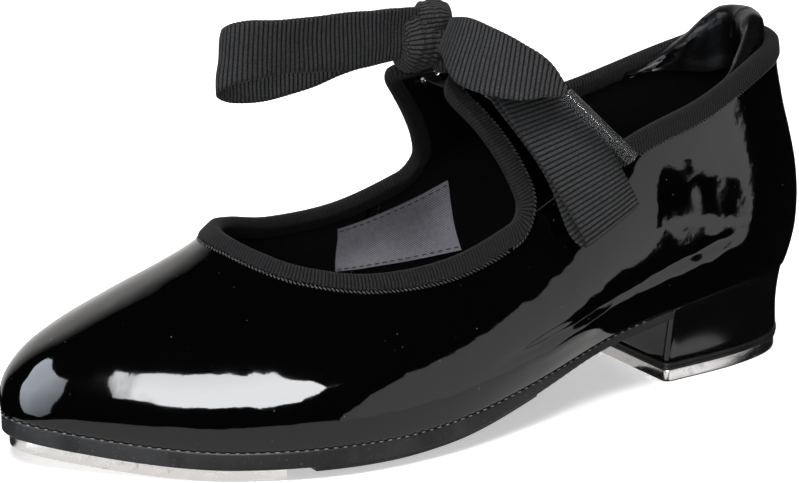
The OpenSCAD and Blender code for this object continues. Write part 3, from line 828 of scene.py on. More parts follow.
def heel_ring(h, inset):
    """Outline of the heel at height fraction h: round at the back, flat at the breast."""
    draw = 1 - HEEL_DRAW / 25 * (1 - h**1.5)
    breast = BREAST_X + BREAST_LEAN * h - (inset - HEEL_INSET)
    start = breast - HEEL_CORNER
    u0, u1 = side_u(start, 1), side_u(start, -1) - STATIONS
    sides = outline(np.linspace(u0, u1, 2 * SIDE_POINTS), inset) * np.array([1, draw])
    a = np.linspace(0, np.pi / 2, CORNER_STEPS + 1)[1:]
    lateral = sides[0] + HEEL_CORNER * np.stack([np.sin(a), np.cos(a) - 1], -1)
    medial = sides[-1] + HEEL_CORNER * np.stack([np.sin(a), 1 - np.cos(a)], -1)
    return np.concatenate([lateral[::-1], sides, medial])[::-1]


def heel_slab(name, z0, z1, inset, radius, material):
    rings = [with_z(heel_ring(z0 / SEAT_Z, inset + extra), z0 + height)
             for extra, height in rounded(z1 - z0, radius)]
    return add_stack(name, rings, material)


def build_heel():
    low = TAP_T + LIFT_T + TOUCH
    edge = 0.7
    levels = [(edge, 0), (edge * 0.3, 0.02), (0, 0.05)]
    levels += [(0, t) for t in np.linspace(0.12, 0.93, 12)]
    levels += [(edge * 0.3, 0.975), (edge, 1)]
    rings = []
    for extra, t in levels:
        h = lerp(low / SEAT_Z, 1, t)
        waist = 0.55 * math.sin(math.pi * t)     # the sides hollow a little between the ends
        ring = heel_ring(h, HEEL_INSET + extra + waist)
        rings.append(with_z(ring, lerp(low, sole_top(ring[:, 0]) - TOUCH, t)))
    finish_piece(add_stack("heel_block_visual", rings, HEEL), "shoe", ["heel_block"])
    split = TAP_T + 0.45 * LIFT_T
    lift = heel_slab("heel_lift_visual", split + 0.1, TAP_T + LIFT_T, 0.3, 0.2, RUBBER)
    finish_piece(lift, "shoe", ["heel_lift"])
    lower = heel_slab("heel_lift_lower", TAP_T, split, 0.45, 0.2, RUBBER)
    finish_piece(lower, "shoe", ["heel_lift"])
    tap = heel_slab("heel_tap_visual", 0, TAP_T - TOUCH, 0.9, 0.45, ALUMINIUM)
    finish_piece(tap, "shoe", ["heel_tap"])


SOCK_INSET = UPPER_T + 1.9


def build_sock():
    """Sock lining: a soft sheet that dishes slightly under the foot."""
    rings = []
    for extra, height in rounded(1.8, 0.8, 4):
        xy = ring_outline(HEEL_X, TOE_X, SOCK_INSET + extra)
        rings.append(on_sole(xy, BOARD_TOP + 0.05 + height))
    for shrink in np.linspace(0.9, 0.1, 9):
        xy = ring_outline(HEEL_X, TOE_X, SOCK_INSET + 0.8)
        centre_y = (xy[:, 1] + xy[::-1, 1]) / 2
        y = lerp(centre_y, xy[:, 1], shrink)
        z = sole_top(xy[:, 0]) + BOARD_TOP + 1.85 - 0.5 * (1 - shrink**2)
        rings.append(np.stack([xy[:, 0], y, z], -1))
    sock = add_stack("sock_lining_visual", rings, LINING)
    finish_piece(sock, "shoe", ["sock_lining"])


def build_welt_stitches():
    """Stitches that show where the upper meets the sole, from the waist round the toe."""
    u, _ = even(lambda t: outline(t, 0), 3.6, STATIONS - 3.6, 2.3)
    xy = outline(u, -0.12)
    step = outline(u + 0.02, 0) - outline(u - 0.02, 0)
    rows = add_threads("welt_stitches", on_sole(xy, 0.12), with_z(step, 0.0), outward(u), 1.1,
                       0.16, WELT_THREAD)
    finish_piece(rows, "shoe", [])


# ---------- upper ----------

UPPER_STEP = 1.15
UPPER_ROWS = 52
CREASE_V = 0.27


def relief(p, u, v):
    """Height of the unevenness of the patent over the wall, in millimetres."""
    calm = smooth(v / 0.12) * smooth((1.0 - v) / 0.12)
    back_u = np.minimum(u, STATIONS - u)
    quarter = smooth((back_u - 2.2) / 0.9) * smooth((5.7 - back_u) / 0.8)
    valley = -0.40 * np.exp(-((v - CREASE_V) / 0.030)**2)
    ridge = 0.35 * np.exp(-((v - CREASE_V + 0.085) / 0.05)**2)
    cockle = smooth((back_u - 4.75) / 0.2) * smooth((5.45 - back_u) / 0.25)
    cockle = cockle * smooth((v - 0.72) / 0.15) * smooth((1.0 - v) / 0.05)
    return (calm * (0.10 * waves(p, 3, 34) + 0.035 * waves(p, 4, 9))
            + quarter * (valley + ridge) * (1 + 0.3 * waves(p, 5, 20))
            + 0.22 * cockle * waves(p, 9, 3.6))


def uneven(u, v):
    p = face_point(u, v)
    return p + relief(p, u, v)[..., None] * normal(u, v)


def tab_uneven(side, w, s):
    p = tab_face(side, w, s)
    ends = smooth((s + TAB_GAP / TAB_LENGTH) / 0.2)
    front = smooth((0.3 - w) / 0.2) * smooth((0.5 - s) / 0.2)
    height = ends * (0.05 * waves(p, 4, 9) + 0.18 * front * waves(p, 9, 3.6))
    return p + height[..., None] * tab_normal(side, w, s)


def set_normals(piece, indices, normals):
    """Gives chosen vertices a normal of their own, so that two pieces join without a line."""
    table = np.zeros((len(piece.data.vertices), 3))
    table[indices] = normals
    piece.data.normals_split_custom_set_from_vertices(table.tolist())


def build_upper():
    u, _ = even(lambda t: face_point(t, 0.4), 0, STATIONS, UPPER_STEP, 4000)
    u = u[:-1]
    v = np.linspace(0, 1, UPPER_ROWS + 1)
    U, V = cross_grid(u, v)
    outer = uneven(U, V)
    under = on_sole(outline(u, MARGIN_W), LAYER_GAP)
    corner = on_sole(outline(u, 0.85 * UPPER_T), LAYER_GAP + UPPER_T)
    margin = under + np.array([0, 0, UPPER_T])
    inner = wall(U[:, 1:], V[:, 1:], UPPER_T)
    front = np.concatenate([under[:, None], outer], 1)
    back = np.concatenate([margin[:, None], corner[:, None], inner], 1)
    upper = add_sheet("upper_visual", front, back, PATENT, ring=True)
    back_u = np.minimum(u, STATIONS - u)
    joined = np.nonzero((back_u > TAB_REAR_U - 0.1) & (back_u < TAB_FRONT_U + 0.1))[0]
    top_row = joined * front.shape[1] + front.shape[1] - 1
    set_normals(upper, top_row, normal(u[joined], 1.0))
    finish_piece(upper, "shoe", ["upper"])


def seam(name, at_u, spread, off, length):
    """Row of stitches up the wall. spread holds its lowest and highest v and the pitch."""
    line, _ = even(lambda t: face_point(at_u, t), *spread)
    rows = add_threads(name, wall(at_u, line, off(line)), along_v(at_u, line),
                       normal(at_u, line), length, 0.17, SEWING)
    finish_piece(rows, "shoe", [])


def build_back_stay():
    """Strip over the back seam, with a row of stitches down each edge."""
    u = np.linspace(-0.34, 0.34, 30)
    v = np.linspace(0.012, 0.94, 90)
    U, V = cross_grid(u, v)
    edge = np.sqrt(np.clip(1 - (np.abs(U) / 0.345)**10, 0, 1))
    front = face_point(U, V) + (0.12 + 0.65 * edge)[..., None] * normal(U, V)
    back = face_point(U, V) + 0.06 * normal(U, V)
    finish_piece(add_sheet("back_stay_visual", front, back, PATENT), "shoe", ["back_stay"])
    for name, at_u in (("back_stay_stitches_outer", 0.27), ("back_stay_stitches_inner", -0.27)):
        seam(name, at_u, (0.03, 0.92, 2.4), lambda v: -0.72 + 0 * v, 1.9)


def build_tab(side, name):
    s0 = -TAB_GAP / TAB_LENGTH
    w = np.linspace(0.045, 0.955, 40)
    s = np.concatenate([np.linspace(s0, 0, 5)[:-1], np.linspace(0, 0.955, 58)])
    if side > 0:
        w = w[::-1]
    W, S = cross_grid(w, s)
    eye = tab_face(side, 0.5, EYELET_S)
    keep = np.linalg.norm(tab_face(side, W, S) - eye, axis=-1)
    hole = EYELET_D / 2 + 0.9
    cells = (keep[:-1, :-1] + keep[1:, :-1] + keep[:-1, 1:] + keep[1:, 1:]) / 4 > hole
    shell = add_sheet(name + "_visual", tab_uneven(side, W, S),
                      tab_point(side, W, S, UPPER_T), PATENT, cells)
    base = np.arange(len(w)) * len(s)
    set_normals(shell, base, normal(tab_u(side, w), 1.0))
    bend_tab(shell, name)
    inner = UPPER_T + LAYER_GAP
    soft = 0.12 * waves(tab_face(side, W, S), 21 + side, 8)
    lining_piece = add_sheet(name + "_lining_visual", tab_point(side, W, S, inner),
                             tab_point(side, W, S, inner + LINING_T + soft), TAB_LINING,
                             cells)
    bend_tab(lining_piece, name + "_lining")


def bend_tab(piece, replaced):
    """Hides the CAD node a tab piece replaces, if any, and bakes its transform into its mesh."""
    if replaced:
        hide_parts(replaced)
    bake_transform(piece)


# ---------- linings and label ----------

LINING_LOW = UPPER_T + 0.8 + 3 * LAYER_GAP
LINING_JOINT_U = 5.6


def lining_off(v):
    return lerp(UPPER_T + LAYER_GAP, LINING_LOW, smooth((0.9 - v) / 0.22))


def lining_patch(name, u0, u1, replaced):
    u, _ = even(lambda t: face_point(t, 0.6), u0, u1, 1.6)
    U, V = cross_grid(u, np.linspace(0.14, 1, 44))
    off = lining_off(V)
    calm = smooth((0.93 - V) / 0.1)
    soft = calm * 0.22 * waves(face_point(U, V), 31, 16)
    piece = add_sheet(name, wall(U, V, off), wall(U, V, off + LINING_T + soft), LINING)
    finish_piece(piece, "shoe", [replaced])


def build_linings():
    joint = LINING_JOINT_U
    lining_patch("vamp_lining_visual", joint, STATIONS - joint, "vamp_lining")
    lining_patch("quarter_lining_visual", 0.06 - joint, joint - 0.06, "quarter_lining")
    for side, name in ((1, "outer"), (-1, "inner")):
        seam(f"lining_seam_{name}", side * (joint - 0.15) % STATIONS, (0.3, 0.9, 2.2),
             lambda v: lining_off(v) + LINING_T + 0.05, 1.7)


def label_point(a, b, lift):
    """Point on the label: a along it, b from its lower to its upper edge."""
    u = lerp(14.05, 15.4, a) + 0.3 * (1 - b)
    depth = lerp(lerp(21, 32, a), lerp(7, 9.4, a), b)
    reach = np.linalg.norm(along_v(u, 0.99), axis=-1) / 0.02
    v = 1 - depth / reach
    return wall(u, v, lining_off(v) + LINING_T + LAYER_GAP + lift)


def build_label():
    A, B = cross_grid(np.linspace(0, 1, 60), np.linspace(0, 1, 34))
    length = np.linalg.norm(label_point(1.0, 0.5, 0) - label_point(0.0, 0.5, 0))
    height = np.linalg.norm(label_point(0.5, 1.0, 0) - label_point(0.5, 0.0, 0))
    uv = np.stack([A * length, B * height], -1)
    lift = 0.32 + 0.15 * waves(label_point(A, B, 0 * A), 41, 12)
    label = add_sheet("content_label_visual", label_point(A, B, 0 * A),
                      label_point(A, B, lift), LABEL, uv=uv)
    finish_piece(label, "shoe", ["content_label"])
    a = np.linspace(0.03, 0.97, 16)
    a, b = np.tile(a, 2), np.repeat([0.05, 0.95], len(a))
    centres = label_point(a, b, 0.42)
    rows = add_threads("label_stitches", centres, label_point(a + 0.01, b, 0.42) - centres,
                       np.array([[0, 1.0, 0]]), 1.5, 0.14, SEWING)
    finish_piece(rows, "shoe", [])

# ---------- grosgrain binding ----------

RIB_SAMPLES = 6
BINDING_IN = UPPER_T + LAYER_GAP + LINING_T


def rib_height(s, pitch, depth):
    """Height of round ribs pitch apart, below their crests, at distance s."""
    turn = (s / pitch) % 1.0
    return depth * (np.sqrt(np.clip(1 - (2 * turn - 1)**2, 0, 1)) - 1)


def fold_section(thickness):
    """Section of the binding as depth below the edge and offset into the wall, from its
    outer lower edge over the top to its inner lower edge."""
    o, i, d, b = -0.28, BINDING_IN + 0.35, BINDING_DEPTH, thickness
    points = [[d, o - b * 0.55], [d * 0.85, o - b * 0.95], [d * 0.5, o - b * 1.05],
              [0.5, o - b], [-0.4, o - b * 0.7], [-0.5 - b, o + 0.6], [-0.5 - b, i - 0.6],
              [-0.4, i + b * 0.7], [0.5, i + b], [d * 0.5, i + b * 1.05],
              [d * 0.85, i + b * 0.95], [d, i + b * 0.55]]
    return along(points, np.linspace(0, 1, 27))


def add_binding(name, curve, low, high):
    """Ribbed strip along a curve. curve(t, section) gives the strip's point at t."""
    probe = np.array([0.4, -0.3])
    step = BINDING_RIB / RIB_SAMPLES
    t, s = even(lambda q: curve(q[:, None], probe[None, :])[:, 0], low, high, step, 900)
    drop = rib_height(s, BINDING_RIB, 0.17)
    outer_section = fold_section(BINDING_T)
    inner_section = fold_section(0.0)
    T, K = cross_grid(t, np.arange(len(outer_section)))
    towards = inner_section - outer_section
    towards = towards / np.maximum(np.linalg.norm(towards, axis=1, keepdims=True), 0.05)
    outer = outer_section[K] - drop[:, None, None] * towards[K]
    ends = np.array([0, len(outer_section) - 1])
    outer[:, ends, 0] += 1.1 * drop[:, None]
    inner = inner_section[K]
    length = np.concatenate([[0], np.cumsum(np.linalg.norm(np.diff(outer_section, axis=0),
                                                           axis=1))])
    uv = np.stack([np.broadcast_to(s[:, None], T.shape), length[K]], -1)
    return add_sheet(name, curve(T, outer), curve(T, inner), BINDING, uv=uv, sharp=0)


def topline_curve(t, section):
    return edge_point(t, section[..., 0], section[..., 1])


def corner_path():
    """Edge of a tab laid flat: along the topline, round the inside corner, up the front edge,
    round the end and down again. Returns points and inward directions in millimetres, x from
    the front edge to the rear edge and y above the topline."""
    arc = np.linspace(0, math.pi / 2, 10)
    r, t, top = CORNER_R, TIP_R, TAB_TOP
    front = [(-TAB_RUN, 0, 0, -1)]
    front += [(r * (math.sin(q) - 1), r * (1 - math.cos(q)), math.sin(q), -math.cos(q))
              for q in arc]
    front += [(t * (1 - math.cos(q)), top + t * (math.sin(q) - 1), math.cos(q), -math.sin(q))
              for q in arc]
    rear = [(TAB_WIDTH - x, y, -nx, ny) for x, y, nx, ny in front[::-1]]
    path = np.array(front + rear)
    step = np.linalg.norm(np.diff(path[:, :2], axis=0), axis=1)
    return path, np.concatenate([[0], np.cumsum(step)]) / step.sum()


CORNER_R = 5.0       # radius of the binding where a tab leaves the topline
TIP_R = 4.6          # and at the tab's end
TAB_WIDTH = 27.0
TAB_TOP = 0.98 * TAB_LENGTH + TAB_GAP
TAB_RUN = 8.0        # how far a tab's binding runs along the topline
RUN_U = TAB_RUN / TAB_WIDTH * (TAB_FRONT_U - TAB_REAR_U)


def tab_edge_curve(side):
    """The binding's path round a tab, for add_binding."""
    path, share = corner_path()

    def curve(t, section):
        t, depth, off = np.broadcast_arrays(t, section[..., 0], section[..., 1])
        x, y, nx, ny = (np.interp(t, share, path[:, q]) for q in range(4))
        inset = depth + 0.55 * smooth(y / 6)
        w = (x + nx * inset) / TAB_WIDTH
        rise = y + ny * inset
        on_tab = tab_point(side, w, np.maximum(rise - TAB_GAP, -TAB_GAP) / TAB_LENGTH, off)
        on_wall = edge_point(tab_u(side, w), np.maximum(-rise, 0), off)
        return np.where((rise > 0)[..., None], on_tab, on_wall)
    return curve


def binding_stitches(name, curve, low, high):
    """Overlocked thread along the binding's lower edge."""
    seat = np.array([[BINDING_DEPTH + 0.35, -0.16]])
    t, _ = even(lambda q: curve(q[:, None], seat)[:, 0], low, high, 1.02, 700)
    t = t[1:-1]
    here = curve(t[:, None], seat)[:, 0]
    ahead = curve(t[:, None] + 0.002, seat)[:, 0] - here
    above = curve(t[:, None], seat - np.array([[0.6, 0]]))[:, 0] - here
    out = np.cross(ahead, above)
    inside = curve(t[:, None], seat + np.array([[0, 0.5]]))[:, 0] - here
    out = np.where((np.sum(out * inside, -1) > 0)[:, None], -out, out)
    lean = unit(ahead) + 0.9 * unit(above)
    return add_threads(name, here, lean, out, 1.25, 0.21, SEWING)


def build_bindings():
    front, back = TAB_FRONT_U + RUN_U, TAB_REAR_U - RUN_U
    for name, low, high in (("throat", front, STATIONS - front), ("rear", -back, back)):
        strip = add_binding(name + "_binding_visual", topline_curve, low, high)
        finish_piece(strip, "shoe", [name + "_binding"])
        rows = binding_stitches(name + "_stitches", topline_curve, low, high)
        finish_piece(rows, "shoe", [])
    for side, name in ((1, "lateral_tab"), (-1, "medial_tab")):
        curve = tab_edge_curve(side)
        low, high = (1.0, 0.0) if side > 0 else (0.0, 1.0)
        strip = add_binding(name + "_binding_visual", curve, low, high)
        bend_tab(strip, name + "_binding")
        rows = binding_stitches(name + "_stitches", curve, 0.0, 1.0)
        bend_tab(rows, None)


# ---------- ribbon ----------


def ribbon_sides(stations, thickness, pitch, across=14, ruffle=0.0, seed=0):
    """Both faces of a ribbed ribbon through a list of (middle, half width) stations."""
    mid = np.array([p for p, _ in stations], float)
    half = np.array([h for _, h in stations], float)
    t, s = even(lambda q: along(mid, q), 0, 1, pitch / RIB_SAMPLES, 900)
    p, h = along(mid, t), along(half, t)
    d = along(mid, np.minimum(t + 0.004, 1)) - along(mid, np.maximum(t - 0.004, 0))
    n = unit(np.cross(d, h))
    k = np.linspace(-1, 1, across + 1)
    width = np.linalg.norm(h, axis=-1)
    edge = 1 - 0.35 * np.abs(k)**12
    rib = rib_height(s, pitch, 0.15)
    middle = p[:, None] + k[None, :, None] * h[:, None]
    if ruffle:
        middle = middle + (ruffle * waves(middle, seed, 15, 2))[..., None] * n[:, None]
    scallop = (1.1 * rib)[:, None] * np.sign(k)[None, :] * (np.abs(k) > 0.99)[None, :]
    middle = middle + scallop[..., None] * unit(h)[:, None]
    half_t = (thickness / 2 + rib[:, None]) * edge[None, :]
    front = middle - half_t[..., None] * n[:, None]
    back = middle + half_t[..., None] * n[:, None]
    uv = np.stack(np.broadcast_arrays(s[:, None], k[None, :] * width[:, None]), -1)
    return front, back, uv


def build_ribbon(name, stations, **options):
    front, back, uv = ribbon_sides(stations, RIBBON_T, RIBBON_RIB, **options)
    return add_sheet(name, front, back, RIBBON, uv=uv, sharp=0)


HALF = RIBBON_W / 2
KNOT_X = -5.0
LOOP_REACH = KNOT_X + 57.0

# Stations of the four ribbons: the middle, the width as a share of the ribbon's, and the
# direction across it
FRONT_LOOP = [
    ([KNOT_X + 4, 1, 93.8], 0.72, [0, 0.05, 1]),
    ([KNOT_X + 10.5, 3, 94.3], 0.8, [0, 0.05, 1]),
    ([KNOT_X + 27, 5.5, 94.8], 1, [0.17, 0.32, 0.93]),
    ([LOOP_REACH - 14, 5, 95.4], 1, [0.19, 0.38, 0.91]),
    ([LOOP_REACH - 3, 3, 95], 1, [0.08, 0.27, 0.96]),
    ([LOOP_REACH + 1, -1.5, 92.3], 1, [-0.06, 0.06, 1]),
    ([LOOP_REACH - 5, -7, 88.5], 1, [-0.13, -0.24, 0.96]),
    ([LOOP_REACH - 15, -8.5, 87.4], 1, [-0.04, -0.1, 1]),
    ([LOOP_REACH - 27, -8, 89.1], 1, [-0.06, -0.06, 1]),
    ([KNOT_X + 20, -6, 91.3], 0.9, [0, 0.05, 1]),
    ([KNOT_X + 10.5, -3.5, 92.8], 0.8, [-0.05, 0, 1]),
    ([KNOT_X + 4, -2, 92.5], 0.7, [-0.05, 0, 1])]
SIDE_LOOP = [
    ([-9.5, 6, 89.5], 0.35, [0.9, -0.3, 0.2]),
    ([-11.5, 12, 85.5], 0.7, [0.9, -0.3, 0.2]),
    ([-16, 24, 79.5], 1, [0.95, -0.2, -0.15]),
    ([-22, 34.5, 67], 1, [0.9, -0.2, -0.4]),
    ([-26, 39, 53.5], 1, [0.77, -0.27, -0.58]),
    ([-28.3, 42.5, 52], 1, [0.77, -0.27, -0.58]),
    ([-21, 38, 67.5], 1, [0.88, -0.25, -0.4]),
    ([-15.3, 28, 80.5], 1, [0.95, -0.2, -0.2]),
    ([-12, 14, 88.5], 0.7, [0.9, -0.3, 0.2]),
    ([-9, 6, 91.5], 0.35, [0.9, -0.3, 0.2])]
OUTER_TAIL = [
    ([-4.5, 4, 93], 0.45, [-0.4, 0, 0.92]),
    ([-1.5, 12, 94.5], 0.62, [-0.4, 0, 0.92]),
    ([-2, 19.5, 92], 1, [-0.4, -0.15, 0.9]),
    ([-8.5, 30, 89], 1, [-0.46, -0.5, 0.7]),
    ([-14.8, 34.4, 86.8], 0.6, [-0.5, -0.5, 0.7]),
    ([-18.7, 36.3, 83.8], 0.16, [-0.5, -0.3, 0.8])]
INNER_TAIL = [
    ([-7, -6, 93.5], 0.45, [-0.5, 0, 0.86]),
    ([-9, -13, 93.5], 0.75, [-0.5, 0, 0.86]),
    ([-14, -22, 91], 1, [-0.5, 0, 0.86]),
    ([-21, -30, 85], 0.95, [-0.5, 0, 0.86]),
    ([-27.3, -35.3, 77.6], 0.16, [-0.5, 0, 0.86])]
OUTER_AGLET = ([-18.7, 36.3, 83.2], [-31.2, 46.5, 68])
INNER_AGLET = ([-27.5, -35.5, 77], [-33.5, -41.5, 60])


def build_bow():
    for name, rows, ruffle, seed in (
            ("front_loop", FRONT_LOOP, 0.5, 51), ("side_loop", SIDE_LOOP, 0.25, 52),
            ("outer_tail", OUTER_TAIL, 0.4, 53), ("inner_tail", INNER_TAIL, 0.4, 54)):
        stations = [(middle, HALF * share * unit(across)) for middle, share, across in rows]
        ribbon = build_ribbon(name + "_visual", stations, ruffle=ruffle, seed=seed)
        finish_piece(ribbon, name, [name])
    build_aglet("outer_aglet", "outer_tail", *OUTER_AGLET)
    build_aglet("inner_aglet", "inner_tail", *INNER_AGLET)
    build_knot()
    build_strand()


def tube_frame(start, end):
    d = unit(np.subtract(end, start))
    a = unit(np.cross(d, [0.0, 0.0, 1.0]))
    return d, a, np.cross(a, d)


def build_aglet(name, body, start, end):
    """Clear tube, flattened a little and closed at both ends, over the gathered ribbon."""
    start, end = np.array(start, float), np.array(end, float)
    d, a, b = tube_frame(start, end)
    length = np.linalg.norm(end - start)
    turns = np.arange(32) * 2 * np.pi / 32

    def ring(at, r):
        return (start + d * at + r * (np.cos(turns)[:, None] * a * 0.85
                                      + np.sin(turns)[:, None] * b * 1.1))

    levels = [(0, 1.15), (0.0, 1.5), (0.25, 1.62), (length - 0.25, 1.55), (length, 1.4),
              (length, 1.15)]
    rings = np.array([ring(z, r) for z, r in levels])
    faces = tube_faces(len(levels), len(turns), closed=True, flip=True)
    shell = add_mesh(name + "_visual", rings.reshape(-1, 3), faces.tolist(), CLEAR)
    finish_piece(shell, body, [name])
    core = [(start + d * z, a * 0.75 * w) for z, w in
            ((-0.4, 1.0), (length * 0.3, 1.05), (length * 0.7, 0.95), (length - 0.6, 0.9))]
    front, back, uv = ribbon_sides(core, 1.3, RIBBON_RIB, across=8)
    inside = add_sheet(name + "_ribbon", front, back, RIBBON, uv=uv, sharp=0)
    finish_piece(inside, body, [])


def rib_lump(name, centre, axis, up, size, fullness, crease, seed):
    """Closed roll of gathered ribbon. Its ribs run along the axis and draw together at both
    ends; size holds its half length and its two radii."""
    axis = unit(axis)
    side = unit(np.cross(axis, up))
    up = np.cross(side, axis)
    half, wide, high = size
    ribs = int(math.pi * (wide + high) / RIBBON_RIB)
    a = np.arange(ribs * RIB_SAMPLES) * 2 * math.pi / (ribs * RIB_SAMPLES) - math.pi / 2
    k = np.sin(np.linspace(-0.5, 0.5, 33) * math.pi * 0.985)
    K, A = cross_grid(k, a)
    swell = (1 - np.abs(K)**fullness)**(1 / fullness)
    rib = rib_height(a + math.pi / 2, 2 * math.pi / ribs, 0.16)[None, :]
    where = centre + ((wide * np.cos(A))[..., None] * side + (high * np.sin(A))[..., None] * up
                      + (K * half)[..., None] * axis)
    fold = crease * waves(where, seed, 7, 2) + 0.5 * crease * np.cos(4 * np.pi * K
                                                                      + 1.5 * np.sin(A))
    r = 1 + (fold + rib) / min(wide, high)
    points = centre + ((swell * r * wide * np.cos(A))[..., None] * side
                       + (swell * r * high * np.sin(A))[..., None] * up
                       + (K * half)[..., None] * axis)
    n, m = K.shape
    faces = tube_faces(n, m).tolist()
    faces += [list(range(m)), [(n - 1) * m + q for q in range(m)][::-1]]
    turn = (A + math.pi / 2) / (2 * math.pi) * ribs * RIBBON_RIB
    uv = np.stack([turn, K * half], -1).reshape(-1, 2)
    return add_mesh(name, points.reshape(-1, 3), faces, RIBBON, uv=uv, sharp=0)


UP = (0, 0, 1)
KNOT_LUMPS = [
    ("bow_knot_visual", (1.0, 1.0, 91.2), (1, 0.12, 0.06), UP, (5.6, 5.8, 6.9), 5, 0.45, 61),
    ("bow_knot_crown", (-3.6, 0.8, 96.2), (-0.857, 0.515, 0.1), UP, (4.9, 5.3, 4.8), 2.6, 0.4,
     62),
    ("bow_knot_turn", (-5.6, 2.4, 90.2), (0.1, 0.1, 1), (0, 1, 0), (7.0, 3.4, 4.6), 3, 0.4, 63)]


def build_knot():
    """The band wound round the loops, the fold on its top and the turn beside it."""
    for name, *shape in KNOT_LUMPS:
        replaced = ["bow_knot"] if name == "bow_knot_visual" else []
        finish_piece(rib_lump(name, *shape), "tie", replaced)


def build_strand():
    """Ribbon through both eyelets, under the ends of the tabs."""
    def at(side, out):
        return tab_point(side, 0.5, EYELET_S, -out)

    inside = at(1, -3.0)
    gather = np.array([1.8, 0, 0])
    stations = [(at(1, 1.4), gather), (inside, gather),
                ([inside[0], 5, inside[2] - 1], gather * 1.6),
                ([inside[0], -5, inside[2] - 1], gather * 1.6),
                (at(-1, -3.0), gather), (at(-1, 1.4), gather)]
    piece = build_ribbon("eyelet_strand_visual", stations, across=8)
    finish_piece(piece, "tie", ["eyelet_strand"])


# ---------- eyelets ----------


def build_eyelet(side, name):
    """Pressed eyelet: a domed flange outside, a barrel, and six splayed prongs inside."""
    centre = tab_point(side, 0.5, EYELET_S, 0)
    d = tab_normal(side, 0.5, EYELET_S)
    a = unit(np.cross(d, [1.0, 0.0, 0.0]))
    b = np.cross(d, a)
    turns = np.arange(72) * 2 * np.pi / 72
    r0 = EYELET_D / 2
    split = 0.5 + 0.5 * np.cos(6 * turns)
    prong = smooth((split - 0.35) / 0.3)
    back_z = -2.35
    profile = [(r0 + 1.6 + 0 * turns, 0.1), (r0 + 1.45 + 0 * turns, 0.5),
               (r0 + 0.9 + 0 * turns, 0.85), (r0 + 0.25 + 0 * turns, 0.7),
               (r0 + 0 * turns, 0.2), (r0 + 0 * turns, back_z + 0.3),
               (r0 + 0.15 + 0 * turns, back_z - 0.15),
               (r0 + 0.5 + 1.3 * prong, back_z - 0.1 + 0.25 * (1 - prong)),
               (r0 + 0.45 + 1.2 * prong, back_z + 0.25),
               (r0 + 0.4 + 0 * turns, back_z + 0.5), (r0 + 0.4 + 0 * turns, 0.0)]
    rings = np.array([
        centre + (r * np.cos(turns))[:, None] * a + (r * np.sin(turns))[:, None] * b
        + (z + 0 * turns)[:, None] * d for r, z in profile])
    faces = tube_faces(len(profile), len(turns), closed=True, flip=True)
    piece = add_mesh(name + "_visual", rings.reshape(-1, 3), faces.tolist(), NICKEL)
    finish_piece(piece, "tie", [name])


# ---------- heel collar ----------

COLLAR_END_U = 2.6
FOAM_END_U = 2.05
COLLAR_RISE = 6.5
COLLAR_DEPTH = 9.0
COLLAR_HALF_T = 3.2
SIM_FRAMES = 18


def collar_point(u, a, shrink):
    """Point on the roll: a runs round its section from the outer foot over the top to the
    inner foot, and shrink draws the section in."""
    shape = smooth(1.6 * (1 - np.abs(u) / COLLAR_END_U))
    inward = -outward(u)
    half = COLLAR_HALF_T * lerp(0.4, 1, shape)
    clear = BINDING_IN + 0.3 + BINDING_T + 0.4
    foot = edge_point(u, COLLAR_DEPTH * lerp(0.3, 1, shape), clear + half)
    rise = lerp(-1, COLLAR_RISE, shape) - half
    top = around(TOPLINE, u) + inward * (clear + half)[..., None]
    top[..., 2] += rise
    t = np.clip(np.where(a < 0.4, a, 1 - a) / 0.4, 0, 1)
    turn = np.pi * np.clip((a - 0.4) / 0.2, 0, 1)
    middle = lerp(foot, top, t[..., None])
    half = half - shrink
    middle = middle - inward * (half * np.cos(turn))[..., None]
    middle[..., 2] += half * np.sin(turn)
    return middle


def collar_section(rows):
    """Places round the section, closer together over the top."""
    return np.concatenate([np.linspace(0, 0.4, rows)[:-1], np.linspace(0.4, 0.6, rows),
                           np.linspace(0.6, 1, rows)[1:]])


CLOTH = {"quality": 6, "mass": 0.2, "tension_stiffness": 12, "compression_stiffness": 12,
         "shear_stiffness": 6, "bending_stiffness": 0.4, "use_pressure": True,
         "uniform_pressure_force": 5, "shrink_min": -0.05, "vertex_group_mass": "sewn"}


def pucker(piece, pinned):
    """Fills the roll with air while its sewn edges are drawn together, so that it swells
    and gathers along the seam."""
    scene = bpy.context.scene
    group = piece.vertex_groups.new(name="sewn")
    group.add([int(k) for k in pinned], 1.0, "REPLACE")
    cloth = piece.modifiers.new("cloth", "CLOTH")
    for key, value in CLOTH.items():
        setattr(cloth.settings, key, value)
    cloth.settings.effector_weights.gravity = 0
    cloth.collision_settings.use_collision = False
    cloth.point_cache.frame_start = 1
    cloth.point_cache.frame_end = SIM_FRAMES
    for number in range(1, SIM_FRAMES + 1):
        scene.frame_set(number)
    shape = piece.evaluated_get(bpy.context.evaluated_depsgraph_get())
    co = np.zeros(len(piece.data.vertices) * 3, np.float32)
    shape.data.vertices.foreach_get("co", co)
    piece.modifiers.remove(cloth)
    scene.frame_set(1)
    return millimetres(co.reshape(-1, 3))


def build_collar():
    u, _ = even(lambda t: around(TOPLINE, t), -COLLAR_END_U, COLLAR_END_U, 1.1)
    U, A = cross_grid(u, collar_section(9))
    start, inside = collar_point(U, A, 0.35), collar_point(U, A, 0.85)
    outer = simulate_roll(start, inside)
    roll = add_sheet("collar_cover_visual", outer, inside, COLLAR)
    finish_piece(roll, "shoe", ["collar_cover"])
    u = np.linspace(-FOAM_END_U, FOAM_END_U, 90)
    U, A = cross_grid(u, collar_section(6))
    filling = add_sheet("collar_foam_visual", collar_point(U, A, 1.35),
                        collar_point(U, A, 1.75), FOAM)
    finish_piece(filling, "shoe", ["collar_foam"])


SWELL_CAP = 0.9      # how far the simulated skin may leave its start
SINK_CAP = 0.25      # and how far of that towards the foam


